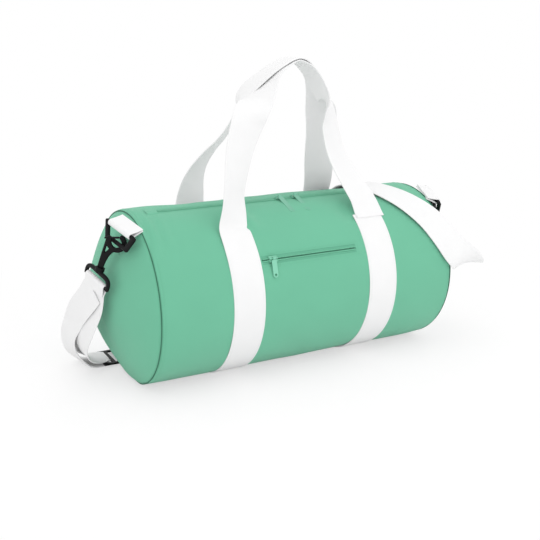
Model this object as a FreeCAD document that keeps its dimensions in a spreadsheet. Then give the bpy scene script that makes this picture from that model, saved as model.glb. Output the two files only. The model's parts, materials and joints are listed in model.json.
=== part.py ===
import FreeCAD, Part
import math
import os
import re

# A barrel bag: a coated fabric tube with domed round ends, a zipped mouth along the top,
# a zipped front pocket, two webbing handles sewn on as girth straps, and a clip-on
# shoulder strap. +X runs along the barrel, +Y to the rear, +Z up, and the origin is on
# the floor under the middle of the barrel. All sizes are in millimetres.

Vec = FreeCAD.Vector
doc = FreeCAD.newDocument("barrel_bag")
sheet = doc.addObject("Spreadsheet::Sheet", "sizes")

DRIVING_SIZES = [
    ("barrel_length", 500),
    ("barrel_diameter", 260),
    ("fabric_thickness", 1.5),
    ("base_flat_width", 64),
    ("end_bulge", 38),
    ("binding_width", 11),
    ("binding_thickness", 1.2),
    ("webbing_width", 50),
    ("webbing_thickness", 2),
    ("girth_spacing", 232),
    ("handle_leave_angle", 53),
    ("handle_top_height", 470),
    ("handle_nest_gap", 3.5),
    ("handle_foot_lift", 0.9),
    ("handle_foot_gap", 0.7),
    ("main_zip_length", 416),
    ("main_zip_tilt", 8),
    ("main_zip_slot", 14),
    ("main_slider_left_place", -6),
    ("main_slider_right_place", 22),
    ("main_pull_length", 47),
    ("pocket_zip_margin", 20),
    ("pocket_zip_centre", -7),
    ("pocket_zip_tilt", 61.5),
    ("pocket_zip_slot", 16),
    ("pocket_slider_inset", 17),
    ("pocket_pull_length", 28),
    ("pocket_depth", 74),
    ("pocket_hollow", 16),
    ("zip_tape_width", 15),
    ("zip_tape_thickness", 1),
    ("zip_gap", 1.2),
    ("zip_teeth_width", 2.6),
    ("zip_teeth_height", 2.2),
    ("zip_stop_length", 18),
    ("slider_length", 13),
    ("slider_width", 9),
    ("slider_plate", 1.6),
    ("slider_post_length", 4),
    ("slider_post_thickness", 0.6),
    ("slider_bridge_radius", 0.9),
    ("pull_width", 8),
    ("pull_thickness", 1.5),
    ("pull_knuckle_wall", 1),
    ("pull_knuckle_length", 4),
    ("pull_hole_radius", 2),
    ("run_clearance", 0.3),
    ("tab_angle", 73),
    ("tab_reach", 26.5),
    ("ring_bar_radius", 2.5),
    ("ring_inner_gap", 4),
    ("ring_height", 21),
    ("ring_bottom_width", 46),
    ("hook_length", 42),
    ("hook_offset", 12),
    ("hook_thickness", 5),
    ("hook_shank_width", 9),
    ("hook_trough_radius", 8),
    ("hook_wall", 6),
    ("hook_pin_radius", 3),
    ("hook_pin_head", 4.8),
    ("hook_pin_head_height", 2),
    ("gate_thickness", 3),
    ("gate_knuckle_radius", 3),
    ("gate_thumb_length", 7),
    ("collar_radius", 7),
    ("collar_height", 7),
    ("base_drop", 22),
    ("loop_leg", 14),
    ("strap_slider_length", 34),
    ("strap_slider_margin", 5),
    ("strap_slider_thickness", 3),
    ("strap_slider_place", -255),
    ("strap_slider_rear", 92),
    ("cut_overrun", 20),
]
for row, (alias, value) in enumerate(DRIVING_SIZES, start=1):
    sheet.set(f"A{row}", alias)
    sheet.set(f"B{row}", str(value))
    sheet.setAlias(f"B{row}", alias)
doc.recompute()
ALIASES = {alias for alias, value in DRIVING_SIZES}
size = {alias: float(sheet.get(alias)) for alias in ALIASES}

# Directions of the left end's hardware as unit shares of X, Y and Z. The right end mirrors them.
HOOK_HANG_SHARES = (-0.25, 0.22, -0.94)
RING_BAR_SHARES = (0.26, -0.93, -0.28)
HOOK_FACE_SHARES = (-0.575, -0.818, -0.037)
LEFT_BASE_BAR_SHARES = (0.18, -0.93, -0.30)
RIGHT_BASE_BAR_SHARES = (0.40, -0.91, -0.08)
RING_DROP_SHARES = (-0.883, -0.32, -0.34)

# The handles from their left feet over the arch to their right feet: shares of half the girth
# spacing, of the foot's depth, of the handle's rise and of the quarter twist.
FRONT_HANDLE_SHARES = [
    (-1.000, 1.000, 0.000, 0.000),
    (-0.970, 0.957, 0.102, -0.133),
    (-0.950, 0.907, 0.206, -0.244),
    (-0.904, 0.844, 0.305, -0.222),
    (-0.846, 0.768, 0.409, -0.167),
    (-0.771, 0.699, 0.513, -0.111),
    (-0.681, 0.649, 0.613, -0.044),
    (-0.588, 0.617, 0.708, 0.067),
    (-0.358, 0.353, 0.781, 0.933),
    (-0.198, 0.151, 0.864, 1.000),
    (0.000, 0.038, 0.950, 1.000),
    (0.250, 0.000, 1.000, 1.000),
    (0.431, 0.063, 0.942, 1.000),
    (0.526, 0.239, 0.838, 1.000),
    (0.560, 0.403, 0.764, 0.933),
    (0.615, 0.416, 0.708, 0.533),
    (0.670, 0.353, 0.613, 0.356),
    (0.712, 0.353, 0.513, 0.300),
    (0.759, 0.403, 0.409, 0.267),
    (0.831, 0.504, 0.305, 0.222),
    (0.908, 0.642, 0.206, 0.156),
    (0.975, 0.844, 0.102, 0.078),
    (1.000, 1.000, 0.000, 0.000),
]
REAR_HANDLE_SHARES = [
    (-1.000, 1.000, 0.000, 0.000),
    (-0.987, 0.951, 0.099, 0.100),
    (-0.966, 0.888, 0.201, 0.244),
    (-0.909, 0.794, 0.298, 0.367),
    (-0.797, 0.642, 0.400, 0.456),
    (-0.651, 0.454, 0.501, 0.533),
    (-0.543, 0.353, 0.598, 0.600),
    (-0.461, 0.315, 0.700, 0.689),
    (-0.388, 0.315, 0.772, 0.967),
    (-0.224, 0.151, 0.865, 1.000),
    (-0.009, 0.038, 0.949, 1.000),
    (0.250, 0.000, 1.000, 1.000),
    (0.457, 0.025, 0.943, 1.000),
    (0.603, 0.063, 0.839, 1.000),
    (0.672, 0.139, 0.755, 0.933),
    (0.741, 0.176, 0.691, 0.611),
    (0.784, 0.202, 0.598, 0.311),
    (0.810, 0.265, 0.501, 0.178),
    (0.836, 0.365, 0.400, 0.144),
    (0.875, 0.491, 0.298, 0.111),
    (0.922, 0.630, 0.201, 0.078),
    (0.974, 0.819, 0.099, 0.044),
    (1.000, 1.000, 0.000, 0.000),
]

# A row put in midway between four rows of a route: shares of the two nearest and of the two next.
NEAR_ROW_SHARE = 9 / 16
FAR_ROW_SHARE = 1 / 16

# The shoulder strap's free routes: the middle of the webbing and the way its outer face looks.
STRAP_INNER_ROUTE = [
    ((-315, 1, 120), (-1.0, -0.1, 0.0)),
    ((-324, 24, 85.5), (-1.0, -0.1, -0.1)),
    ((-325, 48, 53), (-0.95, -0.05, -0.3)),
    ((-313.5, 70, 29.5), (-0.7, 0.0, -0.7)),
    ((-297, 84, 17), (-0.3, 0.0, -0.95)),
]
STRAP_OUTER_ROUTE = [
    ((-329, -4, 126), (-0.95, -0.1, 0.3)),
    ((-345, 17, 93.5), (-1.0, -0.1, 0.0)),
    ((-350, 42, 61), (-1.0, 0.0, -0.1)),
    ((-346.5, 64, 37.5), (-0.85, 0.0, -0.5)),
    ((-335, 80, 22), (-0.5, 0.0, -0.85)),
    ((-312, 89, 7), (-0.3, 0.0, -0.95)),
]
STRAP_FLOOR_ROUTE = [
    ((-285, 91.5, 1.6), (-0.08, 0.0, -1.0)),
    ((-270, 92, 1.3), (0.0, 0.0, -1.0)),
    ((-180, 92, 1.3), (0.0, 0.0, -1.0)),
    ((-110, 98, 1.3), (0.0, 0.0, -1.0)),
    ((-40, 105, 1.3), (0.0, 0.0, -1.0)),
    ((25, 113, 1.3), (0.0, 0.0, -1.0)),
    ((80, 125, 8.5), (0.0, 0.22, -0.97)),
    ((122, 144, 22), (0.0, 0.55, -0.83)),
]
STRAP_SHOULDER_ROUTE = [
    ((150, 157, 48), (0.0, 0.85, -0.53)),
    ((164, 154, 84), (0.0, 0.98, -0.18)),
    ((171, 145, 121), (0.0, 1.0, 0.1)),
    ((174, 131, 162), (0.0, 0.96, 0.28)),
    ((174, 117, 195.5), (0.0, 0.87, 0.5)),
    ((172, 95.5, 223.5), (0.0, 0.71, 0.71)),
    ((169, 67.5, 245), (0.0, 0.5, 0.87)),
    ((165.5, 35, 258.5), (0.0, 0.26, 0.97)),
    ((166, 0, 263), (0.0, 0.0, 1.0)),
    ((177, -35, 258.5), (0.0, -0.26, 0.97)),
    ((200, -69.5, 243.7), (0.0, -0.52, 0.857)),
    ((224, -99.5, 219.5), (-0.03, -0.74, 0.67)),
    ((242, -119, 192.5), (-0.06, -0.86, 0.50)),
    ((256, -131, 168), (-0.12, -0.95, 0.30)),
]
STRAP_FOLD_ROUTE = [
    ((268, -138, 150), (-0.30, -0.94, 0.12)),
    ((281, -136, 139), (-0.30, -0.75, -0.58)),
    ((293, -122, 134), (-0.15, -0.20, -0.97)),
    ((306, -93, 133), (0.0, 0.10, -1.0)),
    ((314, -58, 130), (0.10, 0.12, -1.0)),
    ((316, -28, 134), (0.30, 0.50, -0.80)),
]


def bind(part, prop, formula):
    """Tie a property of a part to a formula of the sheet's sizes."""
    part.setExpression(
        prop,
        re.sub(r"[a-z_]+", lambda word: "sizes." + word[0] if word[0] in ALIASES else word[0], formula),
    )


def box(name, x, y, z, length, width, height):
    """A block from its lowest corner and its sizes, each a formula."""
    part = doc.addObject("Part::Box", name)
    for prop, formula in zip(("Length", "Width", "Height"), (length, width, height)):
        bind(part, prop, formula)
    for axis, formula in zip("xyz", (x, y, z)):
        bind(part, f"Placement.Base.{axis}", formula)
    return part


def cylinder_along_x(name, radius, x, length):
    """A cylinder round the barrel's axis."""
    part = doc.addObject("Part::Cylinder", name)
    part.Placement = FreeCAD.Placement(Vec(), FreeCAD.Rotation(Vec(0, 1, 0), 90))
    bind(part, "Radius", radius)
    bind(part, "Height", length)
    bind(part, "Placement.Base.x", x)
    bind(part, "Placement.Base.z", AXIS_HEIGHT)
    return part


def combine(kind, name, base, tool):
    """Part::Cut or Part::Common of two parts."""
    part = doc.addObject(kind, name)
    part.Base = base
    part.Tool = tool
    return part


def cut(name, base, tool):
    return combine("Part::Cut", name, base, tool)


def common(name, base, tool):
    return combine("Part::Common", name, base, tool)


def fuse(name, parts):
    part = doc.addObject("Part::MultiFuse", name)
    part.Shapes = parts
    return part


nodes = []


def node(label, part):
    """Give a finished sub-part its name."""
    part.Label = label
    nodes.append(part)
    return part


def shape_node(label, shape):
    """A sub-part whose shape is worked out in code from the sheet's sizes."""
    part = doc.addObject("Part::Feature", "form_" + label)
    part.Shape = shape
    return node(label, part)


# Heights and radii that many pieces share.
RADIUS = "barrel_diameter / 2"
AXIS_HEIGHT = "(webbing_thickness + sqrt(barrel_diameter ^ 2 / 4 - base_flat_width ^ 2 / 4))"
radius = size["barrel_diameter"] / 2
axis_height = size["webbing_thickness"] + math.sqrt(radius**2 - (size["base_flat_width"] / 2) ** 2)
half_length = size["barrel_length"] / 2
half_width = size["webbing_width"] / 2


def barrel_solid(name, outer, floor, x, length):
    """A length of the barrel's outline: a round cut off flat at the floor height."""
    tube = cylinder_along_x(name + "_round", outer, x, length)
    above = box(
        name + "_above", x, "-barrel_diameter", floor, length, "2 * barrel_diameter", "2 * barrel_diameter"
    )
    return common(name, tube, above)


def turned(part, tilt):
    """Turn a part that is built at the top of the barrel forward round the barrel's axis."""
    centre = Vec(0, 0, axis_height)
    part.Placement = FreeCAD.Placement(Vec(), FreeCAD.Rotation(Vec(1, 0, 0), tilt), centre)
    return part


# Barrel shell, with the mouth slot on top and the pocket slot in front.
def slot(name, tilt, x, length, width):
    part = box(name, x, f"-({width}) / 2", AXIS_HEIGHT, length, width, "barrel_diameter")
    holder = doc.addObject("Part::Compound", name + "_turned")
    holder.Links = [part]
    return turned(holder, tilt)


MAIN_X = "-main_zip_length / 2"
POCKET_LENGTH = "(girth_spacing - webbing_width - pocket_zip_margin)"
POCKET_X = f"(pocket_zip_centre - {POCKET_LENGTH} / 2)"
shell_outside = barrel_solid(
    "shell_outside", RADIUS, "webbing_thickness", "-barrel_length / 2", "barrel_length"
)
shell_inside = barrel_solid(
    "shell_inside",
    f"{RADIUS} - fabric_thickness",
    "webbing_thickness + fabric_thickness",
    "-barrel_length / 2 - cut_overrun",
    "barrel_length + 2 * cut_overrun",
)
shell_tube = cut("shell_tube", shell_outside, shell_inside)
mouth_slot = slot("mouth_slot", size["main_zip_tilt"], MAIN_X, "main_zip_length", "main_zip_slot")
pocket_slot = slot("pocket_slot", size["pocket_zip_tilt"], POCKET_X, POCKET_LENGTH, "pocket_zip_slot")
shell_mouth = cut("shell_mouth", shell_tube, mouth_slot)
node("body_shell", cut("shell", shell_mouth, pocket_slot))

# Domed end panels and the binding tape sewn over the seam inside.
DOME_RADIUS = "((barrel_diameter ^ 2 / 4 + end_bulge ^ 2) / (2 * end_bulge))"
for side, sign in (("left", -1), ("right", 1)):
    balls = []
    for layer, wall in (("outer", "0"), ("inner", "fabric_thickness")):
        ball = doc.addObject("Part::Sphere", f"{side}_dome_{layer}")
        bind(ball, "Radius", f"{DOME_RADIUS} - {wall}")
        bind(ball, "Placement.Base.x", f"{sign} * (barrel_length / 2 + end_bulge - {DOME_RADIUS})")
        bind(ball, "Placement.Base.z", AXIS_HEIGHT)
        balls.append(ball)
    dome = cut(f"{side}_dome", *balls)
    reach = "(end_bulge + cut_overrun)"
    start = "barrel_length / 2" if sign > 0 else f"-barrel_length / 2 - {reach}"
    cap = barrel_solid(f"{side}_cap", RADIUS, "webbing_thickness", start, reach)
    node(f"{side}_end_panel", common(f"{side}_panel", dome, cap))

    start = "barrel_length / 2 - binding_width" if sign > 0 else "-barrel_length / 2"
    tape_outside = barrel_solid(
        f"{side}_binding_outside",
        f"{RADIUS} - fabric_thickness",
        "webbing_thickness + fabric_thickness",
        start,
        "binding_width",
    )
    tape_inside = barrel_solid(
        f"{side}_binding_inside",
        f"{RADIUS} - fabric_thickness - binding_thickness",
        "webbing_thickness + fabric_thickness + binding_thickness",
        f"{start} - cut_overrun",
        "binding_width + 2 * cut_overrun",
    )
    node(f"{side}_seam_binding", cut(f"{side}_binding", tape_outside, tape_inside))


# Zips: two tapes behind the slot, a row of teeth on each, and a slider with a hinged pull.
TAPE_OUTER = f"({RADIUS} - fabric_thickness)"
TAPE_INNER = f"({TAPE_OUTER} - zip_tape_thickness)"
TEETH_TOP = f"({TAPE_OUTER} + zip_teeth_height)"
PLATE_TOP = f"({TEETH_TOP} + run_clearance + slider_plate)"
tape_outer = radius - size["fabric_thickness"]
tape_inner = tape_outer - size["zip_tape_thickness"]
teeth_top = tape_outer + size["zip_teeth_height"]
plate_top = teeth_top + size["run_clearance"] + size["slider_plate"]
knuckle_radius = size["slider_bridge_radius"] + size["run_clearance"] + size["pull_knuckle_wall"]
bridge_height = plate_top + knuckle_radius + size["run_clearance"]


def zip_strip(label, tilt, inner, outer, x, length, y, width):
    """A strip of a thin tube round the barrel's axis, cut out at the top and turned to its zip."""
    tube = cut(
        label + "_tube",
        cylinder_along_x(label + "_out", outer, x, length),
        cylinder_along_x(label + "_in", inner, f"{x} - cut_overrun", f"{length} + 2 * cut_overrun"),
    )
    block = box(label + "_block", x, y, AXIS_HEIGHT, length, width, "barrel_diameter")
    return node(label, turned(common(label + "_strip", tube, block), tilt))


def zip_rows(names, tilt, x, length):
    """The two tapes and the two rows of teeth, on the lower side and the upper side of the zip."""
    for name, side in zip(names, (-1, 1)):
        tape_y = "-zip_gap / 2 - zip_tape_width" if side < 0 else "zip_gap / 2"
        teeth_y = "-zip_gap / 2 - zip_teeth_width" if side < 0 else "zip_gap / 2"
        zip_strip(f"{name}_tape", tilt, TAPE_INNER, TAPE_OUTER, x, length, tape_y, "zip_tape_width")
        zip_strip(f"{name}_teeth", tilt, TAPE_OUTER, TEETH_TOP, x, length, teeth_y, "zip_teeth_width")


def slider(label, tilt, place):
    """Two plates either side of the tape, joined by a post between the teeth, and a pull bridge."""
    x = f"({place} - slider_length / 2)"
    half = "slider_width / 2"
    top = box(label + "_top", x, f"-{half}", f"{AXIS_HEIGHT} + {TEETH_TOP} + run_clearance",
              "slider_length", "slider_width", "slider_plate")
    low = box(label + "_low", x, f"-{half}", f"{AXIS_HEIGHT} + {TAPE_INNER} - run_clearance - slider_plate",
              "slider_length", "slider_width", "slider_plate")
    post = box(label + "_post", f"{place} - slider_post_length / 2", "-slider_post_thickness / 2",
               f"{AXIS_HEIGHT} + {TAPE_INNER} - run_clearance - slider_plate", "slider_post_length",
               "slider_post_thickness",
               f"{TEETH_TOP} - {TAPE_INNER} + 2 * run_clearance + 2 * slider_plate")
    rise = "(slider_bridge_radius + pull_knuckle_wall + 2 * run_clearance)"
    feet = []
    for end, foot_x in (("near", x), ("far", f"{x} + slider_length - 2 * slider_bridge_radius")):
        feet.append(
            box(f"{label}_foot_{end}", foot_x, "-slider_bridge_radius", f"{AXIS_HEIGHT} + {PLATE_TOP}",
                "2 * slider_bridge_radius", "2 * slider_bridge_radius",
                f"{rise} + slider_bridge_radius")
        )
    bar = doc.addObject("Part::Cylinder", label + "_bar")
    bar.Placement = FreeCAD.Placement(Vec(), FreeCAD.Rotation(Vec(0, 1, 0), 90))
    bind(bar, "Radius", "slider_bridge_radius")
    bind(bar, "Height", "slider_length")
    bind(bar, "Placement.Base.x", x)
    bind(bar, "Placement.Base.z", f"{AXIS_HEIGHT} + {PLATE_TOP} + {rise}")
    return node(label, turned(fuse(label + "_body", [top, low, post, *feet, bar]), tilt))


def pull(label, tilt, place, length):
    """A flat tab with a round end and a hole, whose knuckle hangs on the slider's bridge bar."""
    lying = radius + size["run_clearance"] + size["pull_thickness"] / 2
    slope = math.degrees(math.acos(lying / bridge_height))
    half = size["pull_width"] / 2
    long_side = length - half
    knuckle_half = size["pull_knuckle_length"] / 2
    tab = Part.makeBox(
        size["pull_width"], long_side - knuckle_radius, size["pull_thickness"],
        Vec(-half, -long_side, -size["pull_thickness"] / 2),
    )
    neck = Part.makeBox(
        size["pull_knuckle_length"], 2 * knuckle_radius, size["pull_thickness"],
        Vec(-knuckle_half, -2 * knuckle_radius, -size["pull_thickness"] / 2),
    )
    end = Part.makeCylinder(half, size["pull_thickness"], Vec(0, -long_side, -size["pull_thickness"] / 2))
    knuckle = Part.makeCylinder(
        knuckle_radius, size["pull_knuckle_length"], Vec(-knuckle_half, 0, 0), Vec(1, 0, 0)
    )
    eye = Part.makeCylinder(
        size["slider_bridge_radius"] + size["run_clearance"],
        size["pull_knuckle_length"] + size["cut_overrun"],
        Vec(-knuckle_half - size["cut_overrun"] / 2, 0, 0), Vec(1, 0, 0),
    )
    hole = Part.makeCylinder(
        size["pull_hole_radius"], size["cut_overrun"], Vec(0, -long_side, -size["cut_overrun"] / 2)
    )
    shape = tab.fuse([neck, end, knuckle]).removeSplitter().cut([eye, hole])
    shape.rotate(Vec(), Vec(1, 0, 0), slope)
    shape.translate(Vec(place, 0, axis_height + bridge_height))
    shape.rotate(Vec(0, 0, axis_height), Vec(1, 0, 0), tilt)
    return shape_node(label, shape)


zip_rows(("front_zip", "rear_zip"), size["main_zip_tilt"], MAIN_X, "main_zip_length")
zip_rows(("pocket_lower", "pocket_upper"), size["pocket_zip_tilt"], POCKET_X, POCKET_LENGTH)
pocket_length = size["girth_spacing"] - size["webbing_width"] - size["pocket_zip_margin"]
pocket_place = size["pocket_zip_centre"] - pocket_length / 2 + size["pocket_slider_inset"]
for label, zip_name, place, middle in (
    ("left_zip", "main", "main_slider_left_place", size["main_slider_left_place"]),
    ("right_zip", "main", "main_slider_right_place", size["main_slider_right_place"]),
    ("pocket", "pocket", f"({POCKET_X} + pocket_slider_inset)", pocket_place),
):
    tilt = size[f"{zip_name}_zip_tilt"]
    slider(f"{label}_slider", tilt, place)
    pull(f"{label}_pull", tilt, middle, size[f"{zip_name}_pull_length"])

# Fabric stops sewn across both ends of the mouth zip, on top of the barrel shell.
for side, x in (("left", f"{MAIN_X} - zip_stop_length"), ("right", "main_zip_length / 2")):
    zip_strip(
        f"{side}_zip_stop", size["main_zip_tilt"], RADIUS, f"({RADIUS} + fabric_thickness)",
        x, "zip_stop_length", "-main_zip_slot", "2 * main_zip_slot",
    )

# Pocket lining: a flat curved pouch behind the pocket zip, open towards the slot.
POUCH_WALL = "fabric_thickness"
POUCH_LOW = "(-zip_tape_width - pocket_depth)"
POUCH_HEIGHT = "(2 * zip_tape_width + pocket_depth)"


def pouch_layer(name, inner, outer, margin):
    tube = cut(
        name + "_tube",
        cylinder_along_x(name + "_out", outer, f"{POCKET_X} + {margin}", f"{POCKET_LENGTH} - 2 * {margin}"),
        cylinder_along_x(
            name + "_in", inner, f"{POCKET_X} - cut_overrun", f"{POCKET_LENGTH} + 2 * cut_overrun"
        ),
    )
    block = box(name + "_block", f"{POCKET_X} - cut_overrun", f"{POUCH_LOW} + {margin}", AXIS_HEIGHT,
                f"{POCKET_LENGTH} + 2 * cut_overrun", f"{POUCH_HEIGHT} - 2 * {margin}", "barrel_diameter")
    return common(name, tube, block)


pouch_outside = pouch_layer(
    "pouch_outside", f"{TAPE_INNER} - pocket_hollow - 2 * {POUCH_WALL}", TAPE_INNER, "0"
)
pouch_hollow = pouch_layer(
    "pouch_hollow", f"{TAPE_INNER} - pocket_hollow - {POUCH_WALL}", f"{TAPE_INNER} - {POUCH_WALL}", POUCH_WALL
)
pouch_mouth = box(
    "pouch_mouth", f"{POCKET_X} + {POUCH_WALL}", f"{POUCH_WALL} - zip_tape_width",
    f"{AXIS_HEIGHT} + {TAPE_INNER} - pocket_hollow", f"{POCKET_LENGTH} - 2 * {POUCH_WALL}",
    f"2 * zip_tape_width - 2 * {POUCH_WALL}", "barrel_diameter",
)
pouch_shell = cut("pouch_shell", pouch_outside, pouch_hollow)
node("pocket_lining", turned(cut("pouch", pouch_shell, pouch_mouth), size["pocket_zip_tilt"]))

# Girth webbing: the handle straps run down the front, under the base and up the rear.
leave_height = axis_height + radius * math.sin(math.radians(size["handle_leave_angle"]))
LEAVE_HEIGHT = f"({AXIS_HEIGHT} + {RADIUS} * sin(handle_leave_angle * 1 deg))"
for side, sign in (("left", "-"), ("right", "")):
    x = f"({sign}girth_spacing / 2 - webbing_width / 2)"
    outside = barrel_solid(f"{side}_girth_outside", f"{RADIUS} + webbing_thickness", "0", x, "webbing_width")
    inside = barrel_solid(
        f"{side}_girth_inside", RADIUS, "webbing_thickness", f"{x} - cut_overrun",
        "webbing_width + 2 * cut_overrun",
    )
    above = box(
        f"{side}_girth_above", f"{x} - cut_overrun", "-barrel_diameter", LEAVE_HEIGHT,
        "webbing_width + 2 * cut_overrun", "2 * barrel_diameter", "barrel_diameter",
    )
    hoop = cut(f"{side}_girth_hoop", outside, inside)
    node(f"{side}_girth_webbing", cut(f"{side}_girth", hoop, above))


# Webbing bands are ruled lofts through flat sections along a route.
def band(sections, width):
    """A closed band through sections, each its middle, its width direction and its outer face."""
    wires = []
    for middle, across, face in sections:
        side = across * (width / 2)
        rise = face * (size["webbing_thickness"] / 2)
        corners = [middle - side - rise, middle + side - rise, middle + side + rise, middle - side + rise]
        wires.append(Part.makePolygon([*corners, corners[0]]))
    return Part.makeLoft(wires, True, True)


def squared(along, across):
    """Unit width and face directions of a section that stands square to its route."""
    along = Vec(along).normalize()
    across = across - along * along.dot(across)
    across.normalize()
    return across, along.cross(across)


def headings(points):
    """The direction of a route at each of its points."""
    last = len(points) - 1
    return [
        (points[min(i + 1, last)] - points[max(i - 1, 0)]).normalize() for i in range(last + 1)
    ]


# Handles: each leaves the girth webbing at its foot, twists a quarter turn and arches over.
def eased(route_shares):
    """The rows of a route with a smoothly placed row between each two."""
    rows = [route_shares[0]]
    last = len(route_shares) - 1
    for i in range(last):
        around = [route_shares[min(max(i + step, 0), last)] for step in (-1, 0, 1, 2)]
        rows.append(
            tuple(
                NEAR_ROW_SHARE * (first + second) - FAR_ROW_SHARE * (before + after)
                for before, first, second, after in zip(*around)
            )
        )
        rows.append(route_shares[i + 1])
    return rows


def handle(label, side, route_shares):
    """The front handle has side -1; the rear handle has side 1 and lies on the front one's arch."""
    foot_radius = radius + size["webbing_thickness"] / 2 + size["handle_foot_lift"]
    leave = math.radians(size["handle_leave_angle"])
    foot = Vec(0, side * foot_radius * math.cos(leave), leave_height + size["handle_foot_gap"])
    rise = size["handle_top_height"] - size["webbing_thickness"] / 2 - foot.z
    if side < 0:
        rise -= size["webbing_thickness"] + size["handle_nest_gap"]
    rows = eased(route_shares)
    points = []
    for x_share, depth_share, rise_share, twist_share in rows:
        x = x_share * size["girth_spacing"] / 2
        points.append(Vec(x, foot.y * depth_share, foot.z + rise * rise_share))
    ways = headings(points)
    for foot_row in (0, -1):
        ways[foot_row] = Vec(0, ways[foot_row].y, ways[foot_row].z).normalize()
    sections = []
    middle_row = len(points) // 2
    for i, (point, way) in enumerate(zip(points, ways)):
        turn = math.radians(90) * rows[i][3]
        leg = 1 if i <= middle_row else -1
        across = Vec(leg * math.cos(turn), side * math.sin(turn), 0)
        across, face = squared(way, across)
        sections.append((point, across, face))
    return shape_node(label, band(sections, size["webbing_width"]))


handle("front_handle", -1, FRONT_HANDLE_SHARES)
handle("rear_handle", 1, REAR_HANDLE_SHARES)


# Hardware at each end: a tab with a ring, a snap hook, its gate and its swivel base.
def mirrored(shares, sign):
    """The left end's direction, or its mirror for the right end, as a unit vector."""
    return Vec(-sign * shares[0], shares[1], shares[2]).normalize()


def rods(points, rod_radius, closed):
    """A bent rod through points with round corners."""
    solids = [Part.makeSphere(rod_radius, point) for point in points]
    ends = list(zip(points, points[1:] + points[:1]))
    for first, second in ends if closed else ends[:-1]:
        run = second - first
        solids.append(Part.makeCylinder(rod_radius, run.Length, first, run))
    return solids[0].fuse(solids[1:]).removeSplitter()


def hairpin(bar, towards, across, leg, tail_gap):
    """A webbing loop round a bar, with both layers running the same way from it."""
    across = Vec(across).normalize()
    towards = (towards - across * across.dot(towards)).normalize()
    over = towards.cross(across)
    bend = size["ring_bar_radius"] + size["run_clearance"] + size["webbing_thickness"] / 2
    tail = size["webbing_thickness"] / 2 + tail_gap
    sections = []
    first_face = over
    sections.append((bar + towards * leg + over * tail, across, first_face))
    for turn in range(0, 181, 30):
        angle = math.radians(turn)
        out = over * math.cos(angle) - towards * math.sin(angle)
        sections.append((bar + out * bend, across, out))
    sections.append((bar + towards * leg - over * tail, across, over * -1))
    return band(sections, size["webbing_width"])


def plate_place(shape, origin, along_x, along_y):
    """Move a shape from its own axes to the given origin and directions."""
    along_z = along_x.cross(along_y)
    matrix = FreeCAD.Matrix(
        along_x.x, along_y.x, along_z.x, origin.x,
        along_x.y, along_y.y, along_z.y, origin.y,
        along_x.z, along_y.z, along_z.z, origin.z,
    )
    placed = shape.copy()
    placed.Placement = FreeCAD.Placement(matrix) * shape.Placement
    return placed


def hook_shapes():
    """The snap hook and its gate, flat, with the swivel axis up Y and the trough to the right."""
    thick = size["hook_thickness"]
    trough = Vec(size["hook_offset"], size["hook_length"], 0)
    outer = size["hook_trough_radius"] + size["hook_wall"]
    ring = Part.makeCylinder(outer, thick, trough - Vec(0, 0, thick / 2))
    ring = ring.cut(
        Part.makeCylinder(
            size["hook_trough_radius"], size["cut_overrun"], trough - Vec(0, 0, size["cut_overrun"] / 2)
        )
    )
    opening_angles = (62, 180)
    corners = [trough - Vec(0, 0, size["cut_overrun"] / 2)]
    for angle in (opening_angles[0], sum(opening_angles) / 2, opening_angles[1]):
        way = Vec(math.cos(math.radians(angle)), math.sin(math.radians(angle)), 0)
        corners.append(corners[0] + way * 2 * outer)
    wedge = Part.Face(Part.makePolygon([*corners, corners[0]])).extrude(Vec(0, 0, size["cut_overrun"]))
    claw = ring.cut(wedge)
    half = size["hook_shank_width"] / 2
    shank = Part.makeBox(2 * half, size["hook_length"], thick, Vec(-half, 0, -thick / 2))
    pin_length = size["collar_height"] + 2 * size["run_clearance"]
    pin = Part.makeCylinder(size["hook_pin_radius"], pin_length, Vec(), Vec(0, -1, 0))
    head = Part.makeCylinder(
        size["hook_pin_head"], size["hook_pin_head_height"], Vec(0, -pin_length, 0), Vec(0, -1, 0)
    )
    hook = shank.fuse([claw, pin, head]).removeSplitter()

    knuckle = size["gate_knuckle_radius"]
    pivot = Vec(0, size["hook_length"] + knuckle + size["run_clearance"], 0)
    tip_angle = math.radians(opening_angles[0])
    tip = trough + Vec(math.cos(tip_angle), math.sin(tip_angle), 0) * (outer - size["hook_wall"] / 2)
    run = tip - pivot
    reach = run.Length - size["run_clearance"] - size["gate_thickness"]
    thumb = Part.makeBox(
        size["gate_thumb_length"], size["gate_thickness"], thick,
        Vec(-size["gate_thumb_length"], -size["gate_thickness"] / 2, -thick / 2),
    )
    arm = Part.makeBox(reach, size["gate_thickness"], thick, Vec(0, -size["gate_thickness"] / 2, -thick / 2))
    round_end = Part.makeCylinder(knuckle, thick, Vec(0, 0, -thick / 2))
    gate = arm.fuse([round_end, thumb]).removeSplitter()
    gate.rotate(Vec(), Vec(0, 0, 1), math.degrees(math.atan2(run.y, run.x)))
    gate.translate(pivot)
    return hook, gate, pivot


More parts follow.
